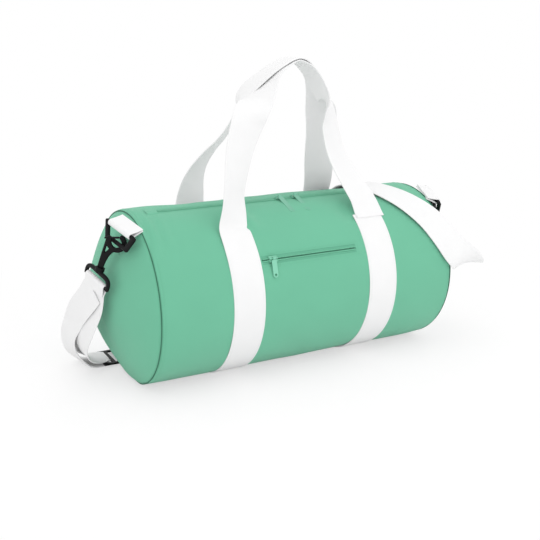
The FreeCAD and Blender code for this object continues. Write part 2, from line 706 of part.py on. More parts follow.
def base_shape():
    """The swivel base, flat: a collar on the swivel axis and a bow that holds the strap's bar."""
    rod = size["ring_bar_radius"]
    half = half_width + size["ring_inner_gap"] / 2 + rod
    collar = Part.makeCylinder(
        size["collar_radius"], size["collar_height"], Vec(0, -size["run_clearance"], 0), Vec(0, -1, 0)
    )
    bore = Part.makeCylinder(
        size["hook_pin_radius"] + size["run_clearance"],
        size["cut_overrun"],
        Vec(0, size["cut_overrun"] / 2, 0),
        Vec(0, -1, 0),
    )
    shoulder = -size["run_clearance"] - size["collar_height"] / 2
    inner = (size["hook_pin_radius"] + size["collar_radius"]) / 2
    bow = rods(
        [Vec(inner, shoulder, 0), Vec(half, shoulder, 0), Vec(half, -size["base_drop"], 0),
         Vec(-half, -size["base_drop"], 0), Vec(-half, shoulder, 0), Vec(-inner, shoulder, 0)],
        rod, False,
    )
    return collar.fuse(bow).cut(bore).removeSplitter()


loop_ends = {}
hook_flat, gate_flat, gate_pivot = hook_shapes()
base_flat = base_shape()
for side, sign in (("left", -1), ("right", 1)):
    hang = mirrored(HOOK_HANG_SHARES, sign)
    bar_way, face = squared(hang, mirrored(RING_BAR_SHARES, sign))
    angle = math.radians(size["tab_angle"])
    seam = Vec(sign * half_length, -radius * math.cos(angle), axis_height + radius * math.sin(angle))
    ring_bar = seam + mirrored(RING_DROP_SHARES, sign) * size["tab_reach"]
    tab_leg = (seam - ring_bar).Length
    node_shape = hairpin(ring_bar, seam - ring_bar, bar_way, tab_leg, size["run_clearance"])
    shape_node(f"{side}_tab", node_shape)

    half_bar = half_width + size["ring_inner_gap"] / 2 + size["ring_bar_radius"]
    half_low = size["ring_bottom_width"] / 2
    trough = ring_bar + hang * size["ring_height"]
    ring_points = [ring_bar - bar_way * half_bar, ring_bar + bar_way * half_bar,
                   trough + bar_way * half_low, trough - bar_way * half_low]
    shape_node(f"{side}_d_ring", rods(ring_points, size["ring_bar_radius"], True))

    up = hang * -1
    face = mirrored(HOOK_FACE_SHARES, sign)
    face = (face - up * up.dot(face)).normalize()
    right = up.cross(face)
    if sign > 0:
        right = right * -1
    swivel = trough - right * size["hook_offset"] - up * size["hook_length"]
    shape_node(f"{side}_hook", plate_place(hook_flat, swivel, right, up))
    shape_node(f"{side}_gate", plate_place(gate_flat, swivel, right, up))

    base_bar = Vec(*LEFT_BASE_BAR_SHARES) if sign < 0 else Vec(*RIGHT_BASE_BAR_SHARES)
    base_across, base_face = squared(up, base_bar)
    shape_node(f"{side}_swivel_base", plate_place(base_flat, swivel, base_across, up))

    strap_bar = swivel + hang * size["base_drop"]
    loop_gap = size["run_clearance"]
    loop = hairpin(strap_bar, hang, base_across, size["loop_leg"], loop_gap)
    shape_node(f"strap_{side}_loop", loop)
    across, over = squared(hang, base_across)
    tail = over * (size["webbing_thickness"] / 2 + loop_gap)
    loop_ends[side] = (strap_bar + hang * size["loop_leg"], tail, across, hang)
    print(side, "ring bar", ring_bar, "trough", trough, "swivel", swivel, "strap bar", strap_bar)
    print(side, "gate axis", right.cross(up), "base across", base_across)
    print(side, "bar way", bar_way, "hook face", face, "hang", hang, "gate pivot",
          swivel + right * gate_pivot.x + up * gate_pivot.y)


# Shoulder strap: bands along the routes, each starting where the one before it ends.
def route_sections(route):
    """Sections square to a route, turned to its outer faces."""
    points = [Vec(*point) for point, face in route]
    found = []
    for point, way, (place, face) in zip(points, headings(points), route):
        across = way.cross(Vec(*face))
        across, square_face = squared(way, across)
        found.append((point, across, square_face))
    return found


def aligned(sections):
    """Keep each section's width direction on the same side as the one before it."""
    kept = [sections[0]]
    for middle, across, face in sections[1:]:
        if across.dot(kept[-1][1]) < 0:
            across = across * -1
            face = face * -1
        kept.append((middle, across, face))
    return kept


left_end, left_tail, left_across, left_hang = loop_ends["left"]
right_end, right_tail, right_across, right_hang = loop_ends["right"]
outward = left_tail if left_tail.x < 0 else left_tail * -1
left_face = Vec(outward).normalize()
inner_start = (left_end - outward, left_across, left_face)
outer_start = (left_end + outward, left_across, left_face)

floor_sections = route_sections(STRAP_FLOOR_ROUTE)
outer_sections = [outer_start, *route_sections(STRAP_OUTER_ROUTE), floor_sections[0]]
shape_node("strap_left_outer", band(aligned(outer_sections), size["webbing_width"]))

slider_low = floor_sections[1][0].z + size["webbing_thickness"] / 2 + size["run_clearance"]
slider_middle = slider_low + size["strap_slider_thickness"] / 2
bar_width = size["strap_slider_margin"]
inner_end = Vec(
    size["strap_slider_place"] - bar_width / 2 - size["run_clearance"],
    size["strap_slider_rear"],
    slider_middle,
)
over_bar = Vec(
    size["strap_slider_place"] - size["strap_slider_length"] / 2 + bar_width / 2,
    size["strap_slider_rear"],
    slider_middle + size["strap_slider_thickness"] / 2 + size["webbing_thickness"],
)
inner_sections = [
    inner_start,
    *route_sections(STRAP_INNER_ROUTE),
    (over_bar, Vec(0, 1, 0), Vec(0, 0, -1)),
    (inner_end, Vec(0, 1, 0), Vec(0, 0, -1)),
]
shape_node("strap_left_inner", band(aligned(inner_sections), size["webbing_width"]))

shoulder_sections = route_sections(STRAP_SHOULDER_ROUTE)
floor_sections = aligned([*floor_sections, shoulder_sections[0]])
shape_node("strap_floor_run", band(floor_sections, size["webbing_width"]))
fold_sections = route_sections(STRAP_FOLD_ROUTE)
shoulder_sections = aligned([*shoulder_sections, fold_sections[0]])
shape_node("strap_shoulder", band(shoulder_sections, size["webbing_width"]))
rearward = right_tail if right_tail.y > 0 else right_tail * -1
right_finish = (right_end + rearward, right_across, Vec(rearward).normalize())
shape_node("strap_right_fold", band(aligned([*fold_sections, right_finish]), size["webbing_width"]))

# Strap slider: a flat frame with a middle bar, lying on the strap's floor run.
frame_length = size["strap_slider_length"]
frame_width = size["webbing_width"] + 2 * bar_width
corner = Vec(
    size["strap_slider_place"] - frame_length / 2, size["strap_slider_rear"] - frame_width / 2, slider_low
)
frame = Part.makeBox(frame_length, frame_width, size["strap_slider_thickness"], corner)
window_length = (frame_length - 3 * bar_width) / 2
for step in (0, 1):
    window = corner + Vec(bar_width + step * (window_length + bar_width), bar_width, -size["cut_overrun"] / 2)
    frame = frame.cut(Part.makeBox(window_length, size["webbing_width"], size["cut_overrun"], window))
shape_node("strap_slider", frame)

doc.recompute()
for part in doc.Objects:
    if "Invalid" in part.State or "Error" in part.State:
        raise RuntimeError(f"{part.Label} did not compute: {part.State}")
os.makedirs("parts", exist_ok=True)
for part in nodes:
    shape = part.Shape
    if shape.isNull() or not shape.isValid() or not shape.Solids:
        raise RuntimeError(f"{part.Label} has no valid shape")
    shape.exportStep(f"parts/{part.Label}.step")
    print(part.Label, len(shape.Solids), round(shape.Volume), shape.BoundBox)
print(len(nodes), "sub-parts, axis height", round(axis_height, 3), "handles leave at", round(leave_height, 3))
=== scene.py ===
# %% [markdown]
# # A soft barrel bag with a shoulder strap
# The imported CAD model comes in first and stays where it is. Every soft piece is then modelled
# again in Blender, in the same frame: X runs along the barrel, Y to the rear and Z up, in metres.

# %% Load the frame
import json
import math

import bmesh
import bpy
import numpy as np
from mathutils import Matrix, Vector


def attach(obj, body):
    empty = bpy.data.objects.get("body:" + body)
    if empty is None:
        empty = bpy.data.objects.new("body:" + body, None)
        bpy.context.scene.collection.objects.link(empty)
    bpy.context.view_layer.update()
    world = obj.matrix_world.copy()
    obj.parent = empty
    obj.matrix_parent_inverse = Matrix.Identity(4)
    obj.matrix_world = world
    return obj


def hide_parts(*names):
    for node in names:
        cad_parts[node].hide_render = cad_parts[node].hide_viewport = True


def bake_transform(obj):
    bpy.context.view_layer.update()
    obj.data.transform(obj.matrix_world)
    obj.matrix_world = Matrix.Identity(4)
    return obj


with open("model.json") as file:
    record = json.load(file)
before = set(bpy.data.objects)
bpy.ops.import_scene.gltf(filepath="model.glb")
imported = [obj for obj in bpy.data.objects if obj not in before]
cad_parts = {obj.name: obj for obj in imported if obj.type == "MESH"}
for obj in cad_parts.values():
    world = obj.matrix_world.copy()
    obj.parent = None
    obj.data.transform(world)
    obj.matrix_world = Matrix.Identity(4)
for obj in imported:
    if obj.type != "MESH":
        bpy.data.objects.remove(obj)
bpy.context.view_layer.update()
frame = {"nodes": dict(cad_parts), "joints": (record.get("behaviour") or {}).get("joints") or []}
MM = 0.001

# %% [markdown]
# ## Camera
# The photograph was matched by fitting a pinhole camera to the end seam and both girth straps.
# A 58 mm lens on a 36 mm sensor from the front left, a little above the bag, gives that view.

# %% Camera
LENS_MM, SENSOR_MM = 57.57, 36
CAMERA_PLACE = (-0.6566, -1.1689, 0.5029)
CAMERA_TARGET = (-0.01185, 0, 0.13905)


def linked(name, data):
    """A new object for some data, linked to the scene."""
    thing = bpy.data.objects.new(name, data)
    bpy.context.scene.collection.objects.link(thing)
    return thing


def aimed(thing, place, target):
    """Put a camera or a lamp at a place and turn it to a target."""
    thing.location = place
    thing.rotation_euler = (Vector(target) - Vector(place)).to_track_quat("-Z", "Y").to_euler()
    return thing


camera_data = bpy.data.cameras.new("photo_camera")
camera_data.lens = LENS_MM
camera_data.sensor_width = SENSOR_MM
bpy.context.scene.camera = aimed(linked("photo_camera", camera_data), CAMERA_PLACE, CAMERA_TARGET)
print("camera at", CAMERA_PLACE)

# %% [markdown]
# ## Shared shader groups
# Cloth and webbing show a fine regular relief; thread, coil and plastic show a fine uneven one.
# Image textures could carry them, but a node group stays sharp at any distance. Each relief is one
# group with its own scale inputs, so several materials can share it. The groups give heights and
# tones only; every material keeps its own Principled shader.


# %% Node helpers
def add(tree, kind, inputs=(), **settings):
    """A new node with its settings made and its inputs filled with values or joined to sockets."""
    node = tree.nodes.new(kind)
    for label, value in settings.items():
        setattr(node, label, value)
    for label, value in dict(inputs).items():
        if isinstance(value, bpy.types.NodeSocket):
            tree.links.new(value, node.inputs[label])
        else:
            node.inputs[label].default_value = value
    return node


def shader_group(name, inputs, outputs):
    """An empty shader group, its input sockets, its end and a function that adds a math node."""
    tree = bpy.data.node_groups.new(name, "ShaderNodeTree")
    tree.interface.new_socket("Vector", in_out="INPUT", socket_type="NodeSocketVector")
    for label, value in inputs.items():
        socket = tree.interface.new_socket(label, in_out="INPUT", socket_type="NodeSocketFloat")
        socket.default_value = value
    for label in outputs:
        tree.interface.new_socket(label, in_out="OUTPUT", socket_type="NodeSocketFloat")

    def math_node(operation, *values):
        return add(tree, "ShaderNodeMath", dict(enumerate(values)), operation=operation).outputs[0]

    return tree, add(tree, "NodeGroupInput").outputs, add(tree, "NodeGroupOutput").inputs, math_node


def crown(math_node, share):
    """A rounded thread: 1 in the middle of a cell and 0 at its edges."""
    centred = math_node("MULTIPLY_ADD", share, 2, -1)
    return math_node("SUBTRACT", 1, math_node("MULTIPLY", centred, centred))


# %% Plain weave group
weave_group, start, end, m = shader_group("plain_weave", {"Threads": 1400.0}, ["Height"])
split = add(weave_group, "ShaderNodeSeparateXYZ", {0: start["Vector"]}).outputs
warp = m("MULTIPLY", split[0], start["Threads"])
weft = m("MULTIPLY", split[1], start["Threads"])
cell = m("ADD", m("FLOOR", warp), m("FLOOR", weft))
over = m("MULTIPLY", m("FRACT", m("MULTIPLY", cell, 0.5)), 2)
warp_height = m("MULTIPLY", crown(m, m("FRACT", warp)), over)
weft_height = m("MULTIPLY", crown(m, m("FRACT", weft)), m("SUBTRACT", 1, over))
weave_group.links.new(m("ADD", warp_height, weft_height), end["Height"])

# %% Webbing relief group
webbing_group, start, end, m = shader_group("webbing_relief", {"Ribs": 640.0, "Picks": 520.0}, ["Height"])
split = add(webbing_group, "ShaderNodeSeparateXYZ", {0: start["Vector"]}).outputs
rib = m("MULTIPLY", split[0], start["Ribs"])
shift = m("FRACT", m("MULTIPLY", m("FLOOR", rib), 0.5))
pick = m("ADD", m("MULTIPLY", split[1], start["Picks"]), shift)
pick_height = m("MULTIPLY_ADD", crown(m, m("FRACT", pick)), 0.6, 0.4)
webbing_group.links.new(m("MULTIPLY", crown(m, m("FRACT", rib)), pick_height), end["Height"])

# %% Slow tone group
tone_group, start, end, m = shader_group("slow_tone", {"Scale": 14.0, "Amount": 0.06}, ["Tone", "Relief"])
noise = add(
    tone_group, "ShaderNodeTexNoise", {"Vector": start["Vector"], "Scale": start["Scale"], "Detail": 4}
).outputs[0]
swing = m("MULTIPLY", m("SUBTRACT", noise, 0.5), start["Amount"])
tone_group.links.new(m("ADD", 1, m("MULTIPLY", swing, 2)), end["Tone"])
tone_group.links.new(noise, end["Relief"])
print("shader groups:", [g.name for g in bpy.data.node_groups])

# %% [markdown]
# ## Finishes
# The bag is mint polyester canvas, the straps are thick white webbing, and the hardware is black
# moulded plastic. The zip's tape, coil, sliders and pulls are all dyed or painted to the canvas; the
# tape's mint is set a little darker, a painted shade for the zip's groove.
# One function makes them all, because each is a colour with slow changes over a fine relief. The
# canvas has a paler colour for the light it throws on its neighbours than its own colour, a painted
# bounce light.

# %% Material builder
# Low parts of each relief are painted darker: painted shade between the threads of weave and webbing, uneven
# tone on the mottled finishes.
HOLLOW_SHADE_AND_TONE, HOLLOW_SHADE_AND_TONE_GAIN = 0.94, 0.08
SHEEN_ROUGHNESS, COAT_ROUGHNESS, BUMP_STRENGTH = 0.4, 0.2, 0.6
# How fast the painted shade on a finish's sides grows as they turn from view.
SIDE_SHADE_POWER = 2.2


def mixed(tree, first, second, share, blend="MIX"):
    """A mix of two colours or sockets by a share."""
    inputs = {"Factor": share, "A": first, "B": second}
    return add(tree, "ShaderNodeMix", inputs, data_type="RGBA", blend_type=blend).outputs["Result"]


def finish(
    name, colour, roughness, relief,
    tone=(14.0, 0.05), sheen=0.0, specular=0.4, coat=0.0, bounce=None, side_shade=None,
):
    """A Principled material. relief is a group, its inputs, the coordinates it reads and its depth.
    tone is the scale and amount of slow changes, bounce the colour for light that leaves the piece
    for its neighbours, and the last argument the colour of a painted shade on its sides, darker where
    they turn from view."""
    material = bpy.data.materials.new(name)
    material.use_nodes = True
    tree = material.node_tree
    shader = tree.nodes["Principled BSDF"].inputs
    shader["Sheen Weight"].default_value = sheen
    shader["Sheen Roughness"].default_value = SHEEN_ROUGHNESS
    shader["Specular IOR Level"].default_value = specular
    shader["Coat Weight"].default_value = coat
    shader["Coat Roughness"].default_value = COAT_ROUGHNESS
    place = add(tree, "ShaderNodeTexCoord").outputs
    slow_inputs = {"Vector": place["Object"], "Scale": tone[0], "Amount": tone[1]}
    slow = add(tree, "ShaderNodeGroup", slow_inputs, node_tree=tone_group).outputs["Tone"]
    group, values, coordinates, depth = relief
    fine = add(tree, "ShaderNodeGroup", {**values, "Vector": place[coordinates]}, node_tree=group).outputs
    height = fine["Height" if "Height" in fine else "Relief"]

    def math_node(operation, *inputs):
        return add(tree, "ShaderNodeMath", dict(enumerate(inputs)), operation=operation).outputs[0]

    # Darker colour where the relief is low: painted shade in weave and webbing hollows, random tone on
    # mottled finishes.
    hollow = math_node("MULTIPLY_ADD", height, HOLLOW_SHADE_AND_TONE_GAIN, HOLLOW_SHADE_AND_TONE)
    result = mixed(tree, (*colour, 1), math_node("MULTIPLY", slow, hollow), 1, "MULTIPLY")
    # Diffuse rays see the paler bounce colour: painted bounce light on the neighbours.
    if bounce is not None:
        light = add(tree, "ShaderNodeLightPath").outputs["Is Diffuse Ray"]
        result = mixed(tree, result, (*bounce, 1), light)
    # Sides that turn from view are painted darker: painted shade that draws dark outlines.
    if side_shade is not None:
        facing = add(tree, "ShaderNodeLayerWeight", {"Blend": 0.5}).outputs["Facing"]
        result = mixed(tree, result, (*side_shade, 1), math_node("POWER", facing, SIDE_SHADE_POWER))
    bump = add(tree, "ShaderNodeBump", {"Strength": BUMP_STRENGTH, "Distance": depth, "Height": height})
    tree.links.new(result, shader["Base Color"])
    tree.links.new(math_node("MULTIPLY", slow, roughness), shader["Roughness"])
    tree.links.new(bump.outputs[0], shader["Normal"])
    return material


# %% Finishes of the bag
def woven(threads, depth):
    """A plain weave that follows the UV map, by its threads in a metre."""
    return weave_group, {"Threads": threads}, "UV", depth


def mottled(scale, depth):
    """A fine uneven surface for thread, coil, enamel and moulded plastic."""
    return tone_group, {"Scale": scale}, "Object", depth


MINT = (0.155, 0.505, 0.328)
WEB_RELIEF = (webbing_group, {}, "UV", 0.3 * MM)
# The canvas's bounce colour is a painted bounce light, paler than its mint.
canvas = finish("mint_canvas", MINT, 0.72, woven(1300, 0.22 * MM), sheen=0.12, bounce=(0.64, 0.69, 0.67))
lining = finish("mint_lining", (0.14, 0.45, 0.3), 0.6, woven(2200, 0.1 * MM))
# The tape's mint is darker than the canvas: a painted shade for the zip's groove.
shaded_zip_cloth = finish("zip_tape_cloth_shaded", (0.132, 0.44, 0.287), 0.75, woven(1800, 0.15 * MM))
coil = finish("dyed_coil", (0.175, 0.545, 0.36), 0.4, mottled(900, 0.04 * MM))
# The enamel's sides get a painted shade, darker where they turn from view.
enamel = finish(
    "mint_enamel", (0.2, 0.58, 0.4), 0.32, mottled(420, 0.03 * MM),
    specular=0.5, coat=0.3, side_shade=(0.015, 0.09, 0.055),
)
webbing = finish("white_webbing", (0.87, 0.87, 0.872), 0.7, WEB_RELIEF, tone=(30.0, 0.02), sheen=0.1)
mint_thread = finish("mint_thread", (0.15, 0.48, 0.315), 0.6, mottled(700, 0.05 * MM))
white_thread = finish("white_thread", (0.78, 0.78, 0.785), 0.6, mottled(700, 0.05 * MM))
black_plastic = finish(
    "black_moulding", (0.005, 0.005, 0.0055), 0.5, mottled(650, 0.05 * MM),
    tone=(60.0, 0.12), specular=0.16,
)
seam_shade = finish("seam_shade", (0.04, 0.16, 0.1), 0.8, mottled(700, 0.05 * MM))
print("materials:", [material.name for material in bpy.data.materials])

# %% [markdown]
# ## Mesh helpers
# Most pieces are cloth patches that lie on the barrel, webbing bands along a route, or mouldings.
# One helper makes each kind. UV maps are in metres, so a weave has the same scale everywhere.

# %% Making a piece
SHARP_EDGE, SHARP_WALL = math.radians(35), math.radians(50)
SAME_POINT = 1e-6


def new_piece(name, points, faces, uvs=None):
    """A mesh object from points and faces, with one UV for each point."""
    mesh = bpy.data.meshes.new(name)
    mesh.from_pydata([tuple(p) for p in points], [], faces)
    mesh.update()
    if uvs is not None:
        layer = mesh.uv_layers.new(name="UVMap")
        corners = np.zeros(len(mesh.loops), np.int32)
        mesh.loops.foreach_get("vertex_index", corners)
        layer.data.foreach_set("uv", np.asarray(uvs, np.float32)[corners].ravel())
    mesh.shade_smooth()
    mesh.set_sharp_from_angle(angle=SHARP_EDGE)
    return linked(name, mesh)


def welded(piece, outwards=True, along=None):
    """Join points that coincide, then turn the faces outwards, or to look along a direction."""
    join = bmesh.new()
    join.from_mesh(piece.data)
    bmesh.ops.remove_doubles(join, verts=join.verts, dist=SAME_POINT)
    if outwards:
        bmesh.ops.recalc_face_normals(join, faces=join.faces)
    if along is not None and sum(f.normal.dot(along) * f.calc_area() for f in join.faces) < 0:
        bmesh.ops.reverse_faces(join, faces=join.faces)
    join.to_mesh(piece.data)
    join.free()
    return piece


def settle(piece, material, body, slot, *nodes):
    """Give a finished piece its material and its body, and hide the CAD nodes it stands for. slot is not
    used.
    """
    piece.data.materials.clear()
    piece.data.materials.append(material)
    if body:
        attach(piece, body)
    if nodes:
        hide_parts(*nodes)
    return piece


def applied(piece):
    """The piece with its modifiers worked into its mesh."""
    bpy.context.view_layer.update()
    shape = bpy.data.meshes.new_from_object(piece.evaluated_get(bpy.context.evaluated_depsgraph_get()))
    piece.modifiers.clear()
    piece.data = shape
    return piece


def thicken(piece, thickness):
    """Give a patch its cloth thickness, inwards from its outer face."""
    wall = piece.modifiers.new("cloth_wall", "SOLIDIFY")
    wall.thickness = thickness
    wall.offset = -1
    piece = applied(piece)
    piece.data.shade_smooth()
    piece.data.set_sharp_from_angle(angle=SHARP_WALL)
    return piece


# %% Grids and barrel patches
RADIUS = 130 * MM
AXIS_HEIGHT = 128 * MM
HALF_LENGTH = 250 * MM
BASE_HEIGHT, BASE_SOFTNESS = 2 * MM, 1.2 * MM
SIDES = (("left", -1), ("right", 1))


def grid_faces(rows, columns, keep=None, loop=False):
    """Quads over rows and columns of points. keep says which cells stay; loop closes the columns."""
    faces = []
    for i in range(rows - 1):
        for j in range(columns if loop else columns - 1):
            if keep is None or keep[i, j]:
                k = (j + 1) % columns
                faces.append((i * columns + j, i * columns + k, (i + 1) * columns + k, (i + 1) * columns + j))
    return faces


def grid(name, points, uvs, keep=None, loop=False):
    """A piece of quads over a block of points."""
    faces = grid_faces(*points.shape[:2], keep, loop)
    return new_piece(name, points.reshape(-1, 3), faces, uvs.reshape(-1, 2))


def on_barrel(x, turn, lift):
    """Points on the barrel by the angle from the top to the front and the height over the canvas.
    Near the floor they flatten, as the standing bag does."""
    x, turn, lift = np.broadcast_arrays(*(np.asarray(value, float) for value in (x, turn, lift)))
    reach = RADIUS + lift
    z = AXIS_HEIGHT + reach * np.cos(turn)
    floor = BASE_HEIGHT - lift
    z = floor + BASE_SOFTNESS * np.logaddexp(0, (z - floor) / BASE_SOFTNESS)
    return np.stack([x, -reach * np.sin(turn), z], -1)


def patch(name, xs, turns, lift, thickness, loop=False):
    """A piece of cloth lying on the barrel between two angles, with its outer face at lift."""
    x_grid, turn_grid = np.meshgrid(xs, turns, indexing="ij")
    uvs = np.stack([x_grid, turn_grid * RADIUS], -1)
    return thicken(grid(name, on_barrel(x_grid, turn_grid, lift), uvs, loop=loop), thickness)


# %% [markdown]
# ## Barrel shell
# The real tube is one canvas panel, stuffed round, that goes flat where it stands and rolls in at
# its end seams. A cloth simulation could shape it, but the zip edges have to stay true so that the
# sliders run. So it is a grid over the barrel with the two zip openings left out, moved by a few
# soft rules: a hollow beside the right handle and a puff beside the left one, slack folds near the
# left tab, small puckers along the end seams and a slow unevenness.

# %% Canvas folds
ZIP_TURN, POCKET_TURN = math.radians(8), math.radians(61.5)
ZIP_HALF, POCKET_LEFT, POCKET_RIGHT = 208 * MM, -88 * MM, 74 * MM
ZIP_OPEN, POCKET_OPEN = math.asin(5.5 * MM / RADIUS), math.asin(6.5 * MM / RADIUS)
GIRTH_OFFSET = 116 * MM
GIRTH_PLACES = {"left": -GIRTH_OFFSET, "right": GIRTH_OFFSET}
WEB_WIDTH, WEB_THICK, CANVAS_THICK = 50 * MM, 2 * MM, 1.5 * MM
STRAP_INSIDE, STRAP_OUTSIDE = GIRTH_OFFSET - WEB_WIDTH / 2, GIRTH_OFFSET + WEB_WIDTH / 2
SLACK, FINE_SLACK, FILLING = 0.9 * MM, 0.5 * MM, 1.3 * MM
HOLLOW, PUFF, TAB_FOLD = 4.5 * MM, 5 * MM, 2.4 * MM
PUCKER, PUCKER_TURNS = 0.28 * MM, 58
ZIP_CALM_END, POCKET_MARGIN = 230 * MM, 14 * MM
ROLL_DEPTH, ROLL_WIDTH = 2.2 * MM, 3.5 * MM


def bell(value, middle, spread):
    """A smooth bump of height 1 around a middle value."""
    return np.exp(-(((value - middle) / spread) ** 2))


def turn_bell(turn, middle, spread):
    """The same bump over angles, with its middle and spread in degrees."""
    return bell(turn, math.radians(middle), math.radians(spread))


def canvas_lift(x, turn):
    """How far the canvas stands off the plain barrel, in metres."""
    around = (turn + math.pi) % (2 * math.pi) - math.pi
    lift = SLACK * np.sin(31 * x + 2.1 * around) * np.sin(3.3 * around + 9 * x + 0.7)
    lift += FINE_SLACK * np.sin(63 * x - 5.2 * around + 1.9) * np.sin(7.1 * around - 21 * x)
    lift += FILLING * np.cos(np.clip(x / STRAP_INSIDE, -1, 1) * math.pi / 2)
    past_strap = np.clip((np.abs(x) - STRAP_OUTSIDE) / (HALF_LENGTH - STRAP_OUTSIDE), 0, 1)
    lift += FILLING * np.sin(math.pi * past_strap)
    lift -= HOLLOW * bell(x, 84 * MM, 14 * MM) * turn_bell(around, 34, 8)
    lift += PUFF * bell(x, -83 * MM, 10 * MM) * turn_bell(around, 32.5, 8)
    tab_folds = TAB_FOLD * np.sin((x + HALF_LENGTH) * 330 + 5 * around)
    lift += tab_folds * bell(x, -240 * MM, 26 * MM) * turn_bell(around, 30, 16)
    pucker = PUCKER * np.sin(around * PUCKER_TURNS) * bell(np.abs(x), HALF_LENGTH, 11 * MM)
    calm = 1 - bell(around, ZIP_TURN, math.radians(9)) * (np.abs(x) < ZIP_CALM_END)
    near_pocket = (x > POCKET_LEFT - POCKET_MARGIN) & (x < POCKET_RIGHT + POCKET_MARGIN)
    calm *= 1 - bell(around, POCKET_TURN + math.radians(5), math.radians(13)) ** 0.5 * near_pocket
    for middle in GIRTH_PLACES.values():
        calm *= 1 - 0.9 * bell(x, middle, 30 * MM) ** 3
    off_floor = 1 - turn_bell(np.abs(around), 180, 24)
    roll = np.clip((np.abs(x) - (HALF_LENGTH - ROLL_WIDTH)) / ROLL_WIDTH, 0, 1)
    return (calm * lift + pucker) * off_floor - ROLL_DEPTH * roll**2


# %% Barrel shell mesh
SEAM_STEPS = np.array((0, 0.5, 1.1, 1.8, 2.6, 3.5)) * MM


def lines_with(start, stop, step, *exact):
    """Evenly spaced lines that also pass exactly through some values."""
    lines = list(np.arange(start, stop + step / 2, step))
    for value in exact:
        lines = [line for line in lines if abs(line - value) > step * 0.4] + [value]
    return np.array(sorted(lines))


edge_lines = [sign * (HALF_LENGTH - step) for side, sign in SIDES for step in SEAM_STEPS]
shell_xs = lines_with(-HALF_LENGTH, HALF_LENGTH, 4 * MM, -ZIP_HALF, ZIP_HALF, POCKET_LEFT, POCKET_RIGHT)
shell_xs = np.array(sorted([x for x in shell_xs if abs(x) < HALF_LENGTH - 4.5 * MM] + edge_lines))
openings = (ZIP_TURN - ZIP_OPEN, ZIP_TURN + ZIP_OPEN, POCKET_TURN - POCKET_OPEN, POCKET_TURN + POCKET_OPEN)
shell_turns = lines_with(math.radians(-180), math.radians(178), math.radians(2), *openings)
x_grid, turn_grid = np.meshgrid(shell_xs, np.append(shell_turns, math.radians(180)), indexing="ij")
shell_points = on_barrel(x_grid, turn_grid, canvas_lift(x_grid, turn_grid))
middle_x = (x_grid[:-1, :-1] + x_grid[1:, :-1]) / 2
middle_turn = (turn_grid[:-1, :-1] + turn_grid[:-1, 1:]) / 2
in_zip = (np.abs(middle_x) < ZIP_HALF) & (np.abs(middle_turn - ZIP_TURN) < ZIP_OPEN)
in_pocket = (middle_x > POCKET_LEFT) & (middle_x < POCKET_RIGHT)
in_pocket &= np.abs(middle_turn - POCKET_TURN) < POCKET_OPEN
shell_uvs = np.stack([x_grid, turn_grid * RADIUS], -1)
barrel = grid("barrel_shell", shell_points, shell_uvs, keep=~(in_zip | in_pocket))
barrel = thicken(welded(barrel, outwards=False), CANVAS_THICK)
settle(barrel, canvas, "bag", "body_fabric", "body_shell")
print("barrel shell faces:", len(barrel.data.polygons))

# %% [markdown]
# ## End panels
# Each round end is a separate canvas disc that bulges with the filling. It could be cut from a
# sphere, but its rim has to follow the barrel's outline, flat at the floor too. So it is a polar
# grid that rolls into the seam. The left end is fuller, and the right one hollow under the strap.
# A binding tape covers each seam inside, and a thin dark ring stands for the seam's shadow.

# %% End panel shape
END_BULGE = 38 * MM
DOME_RADIUS = (RADIUS**2 + END_BULGE**2) / (2 * END_BULGE)
LEFT_FULL, LEFT_REAR_FULL, RIGHT_HOLLOW, TAB_FULL = 6 * MM, 9 * MM, 5 * MM, 6 * MM
END_SLACK, END_TAB_FOLD, END_PUCKER = 0.9 * MM, 1.3 * MM, 0.35 * MM
HOOK_HOLLOW, END_ROLL = 1 * MM, 2 * MM
ROLL_SHARE, RIM_SHARE = 0.962, 0.988
dome_shares = np.append(np.linspace(0.02, 0.94, 30), [0.955, 0.967, 0.976, 0.983, RIM_SHARE])
dome_turns = np.radians(np.arange(-180, 180, 2.5))


def dome_rise(side, share, turn, y, z):
    """How far an end stands out of its seam's plane. share is 0 at the hub and 1 at the seam."""
    left, sign = (1, -1) if side == "left" else (0, 1)
    off_seam = 1 - share**6
    rise = END_BULGE - DOME_RADIUS + np.sqrt(DOME_RADIUS**2 - y**2 - (z - AXIS_HEIGHT) ** 2)
    rise += left * LEFT_FULL * bell(z, 110 * MM, 60 * MM) * (1 - share**2)
    rearward = np.clip((y + 10 * MM) / (70 * MM), 0, 1)
    rearward = rearward**2 * (3 - 2 * rearward) * bell(z, 120 * MM, 95 * MM)
    rise += left * LEFT_REAR_FULL * rearward * off_seam * np.minimum(1, 1.6 * share)
    under_strap = bell(y, -5 * MM, 60 * MM) * bell(z, 145 * MM, 50 * MM)
    rise -= (1 - left) * RIGHT_HOLLOW * under_strap * off_seam
    rise += TAB_FULL * bell(share, 0.93, 0.05) * turn_bell(turn, 17, 10)
    folds = END_SLACK * np.sin(turn * 5 + share * 7 + sign) * np.sin(turn * 3 - share * 4)
    folds += END_TAB_FOLD * np.sin(turn * 26 + sign) * bell(share, 0.9, 0.1) * turn_bell(turn, 28, 22)
    folds += END_PUCKER * np.sin(turn * PUCKER_TURNS) * bell(share, 0.95, 0.05)
    near_hook = bell(y, -33 * MM, 30 * MM) * bell(z, 212 * MM, 34 * MM)
    folds = folds * (1 - near_hook) * np.minimum(1, 2 * share) - HOOK_HOLLOW * near_hook
    roll = np.clip((share - ROLL_SHARE) / (RIM_SHARE - ROLL_SHARE), 0, 1)
    return rise + folds * off_seam - END_ROLL * roll**2


# %% End panels
SEAM_X, SEAM_LIFT, SEAM_SHADOW_RADIUS = 250.1 * MM, -1.1 * MM, 0.75 * MM
BINDING_XS, BINDING_LIFT, BINDING_THICK = np.linspace(239.5, 248, 4) * MM, -3.6 * MM, 1.1 * MM


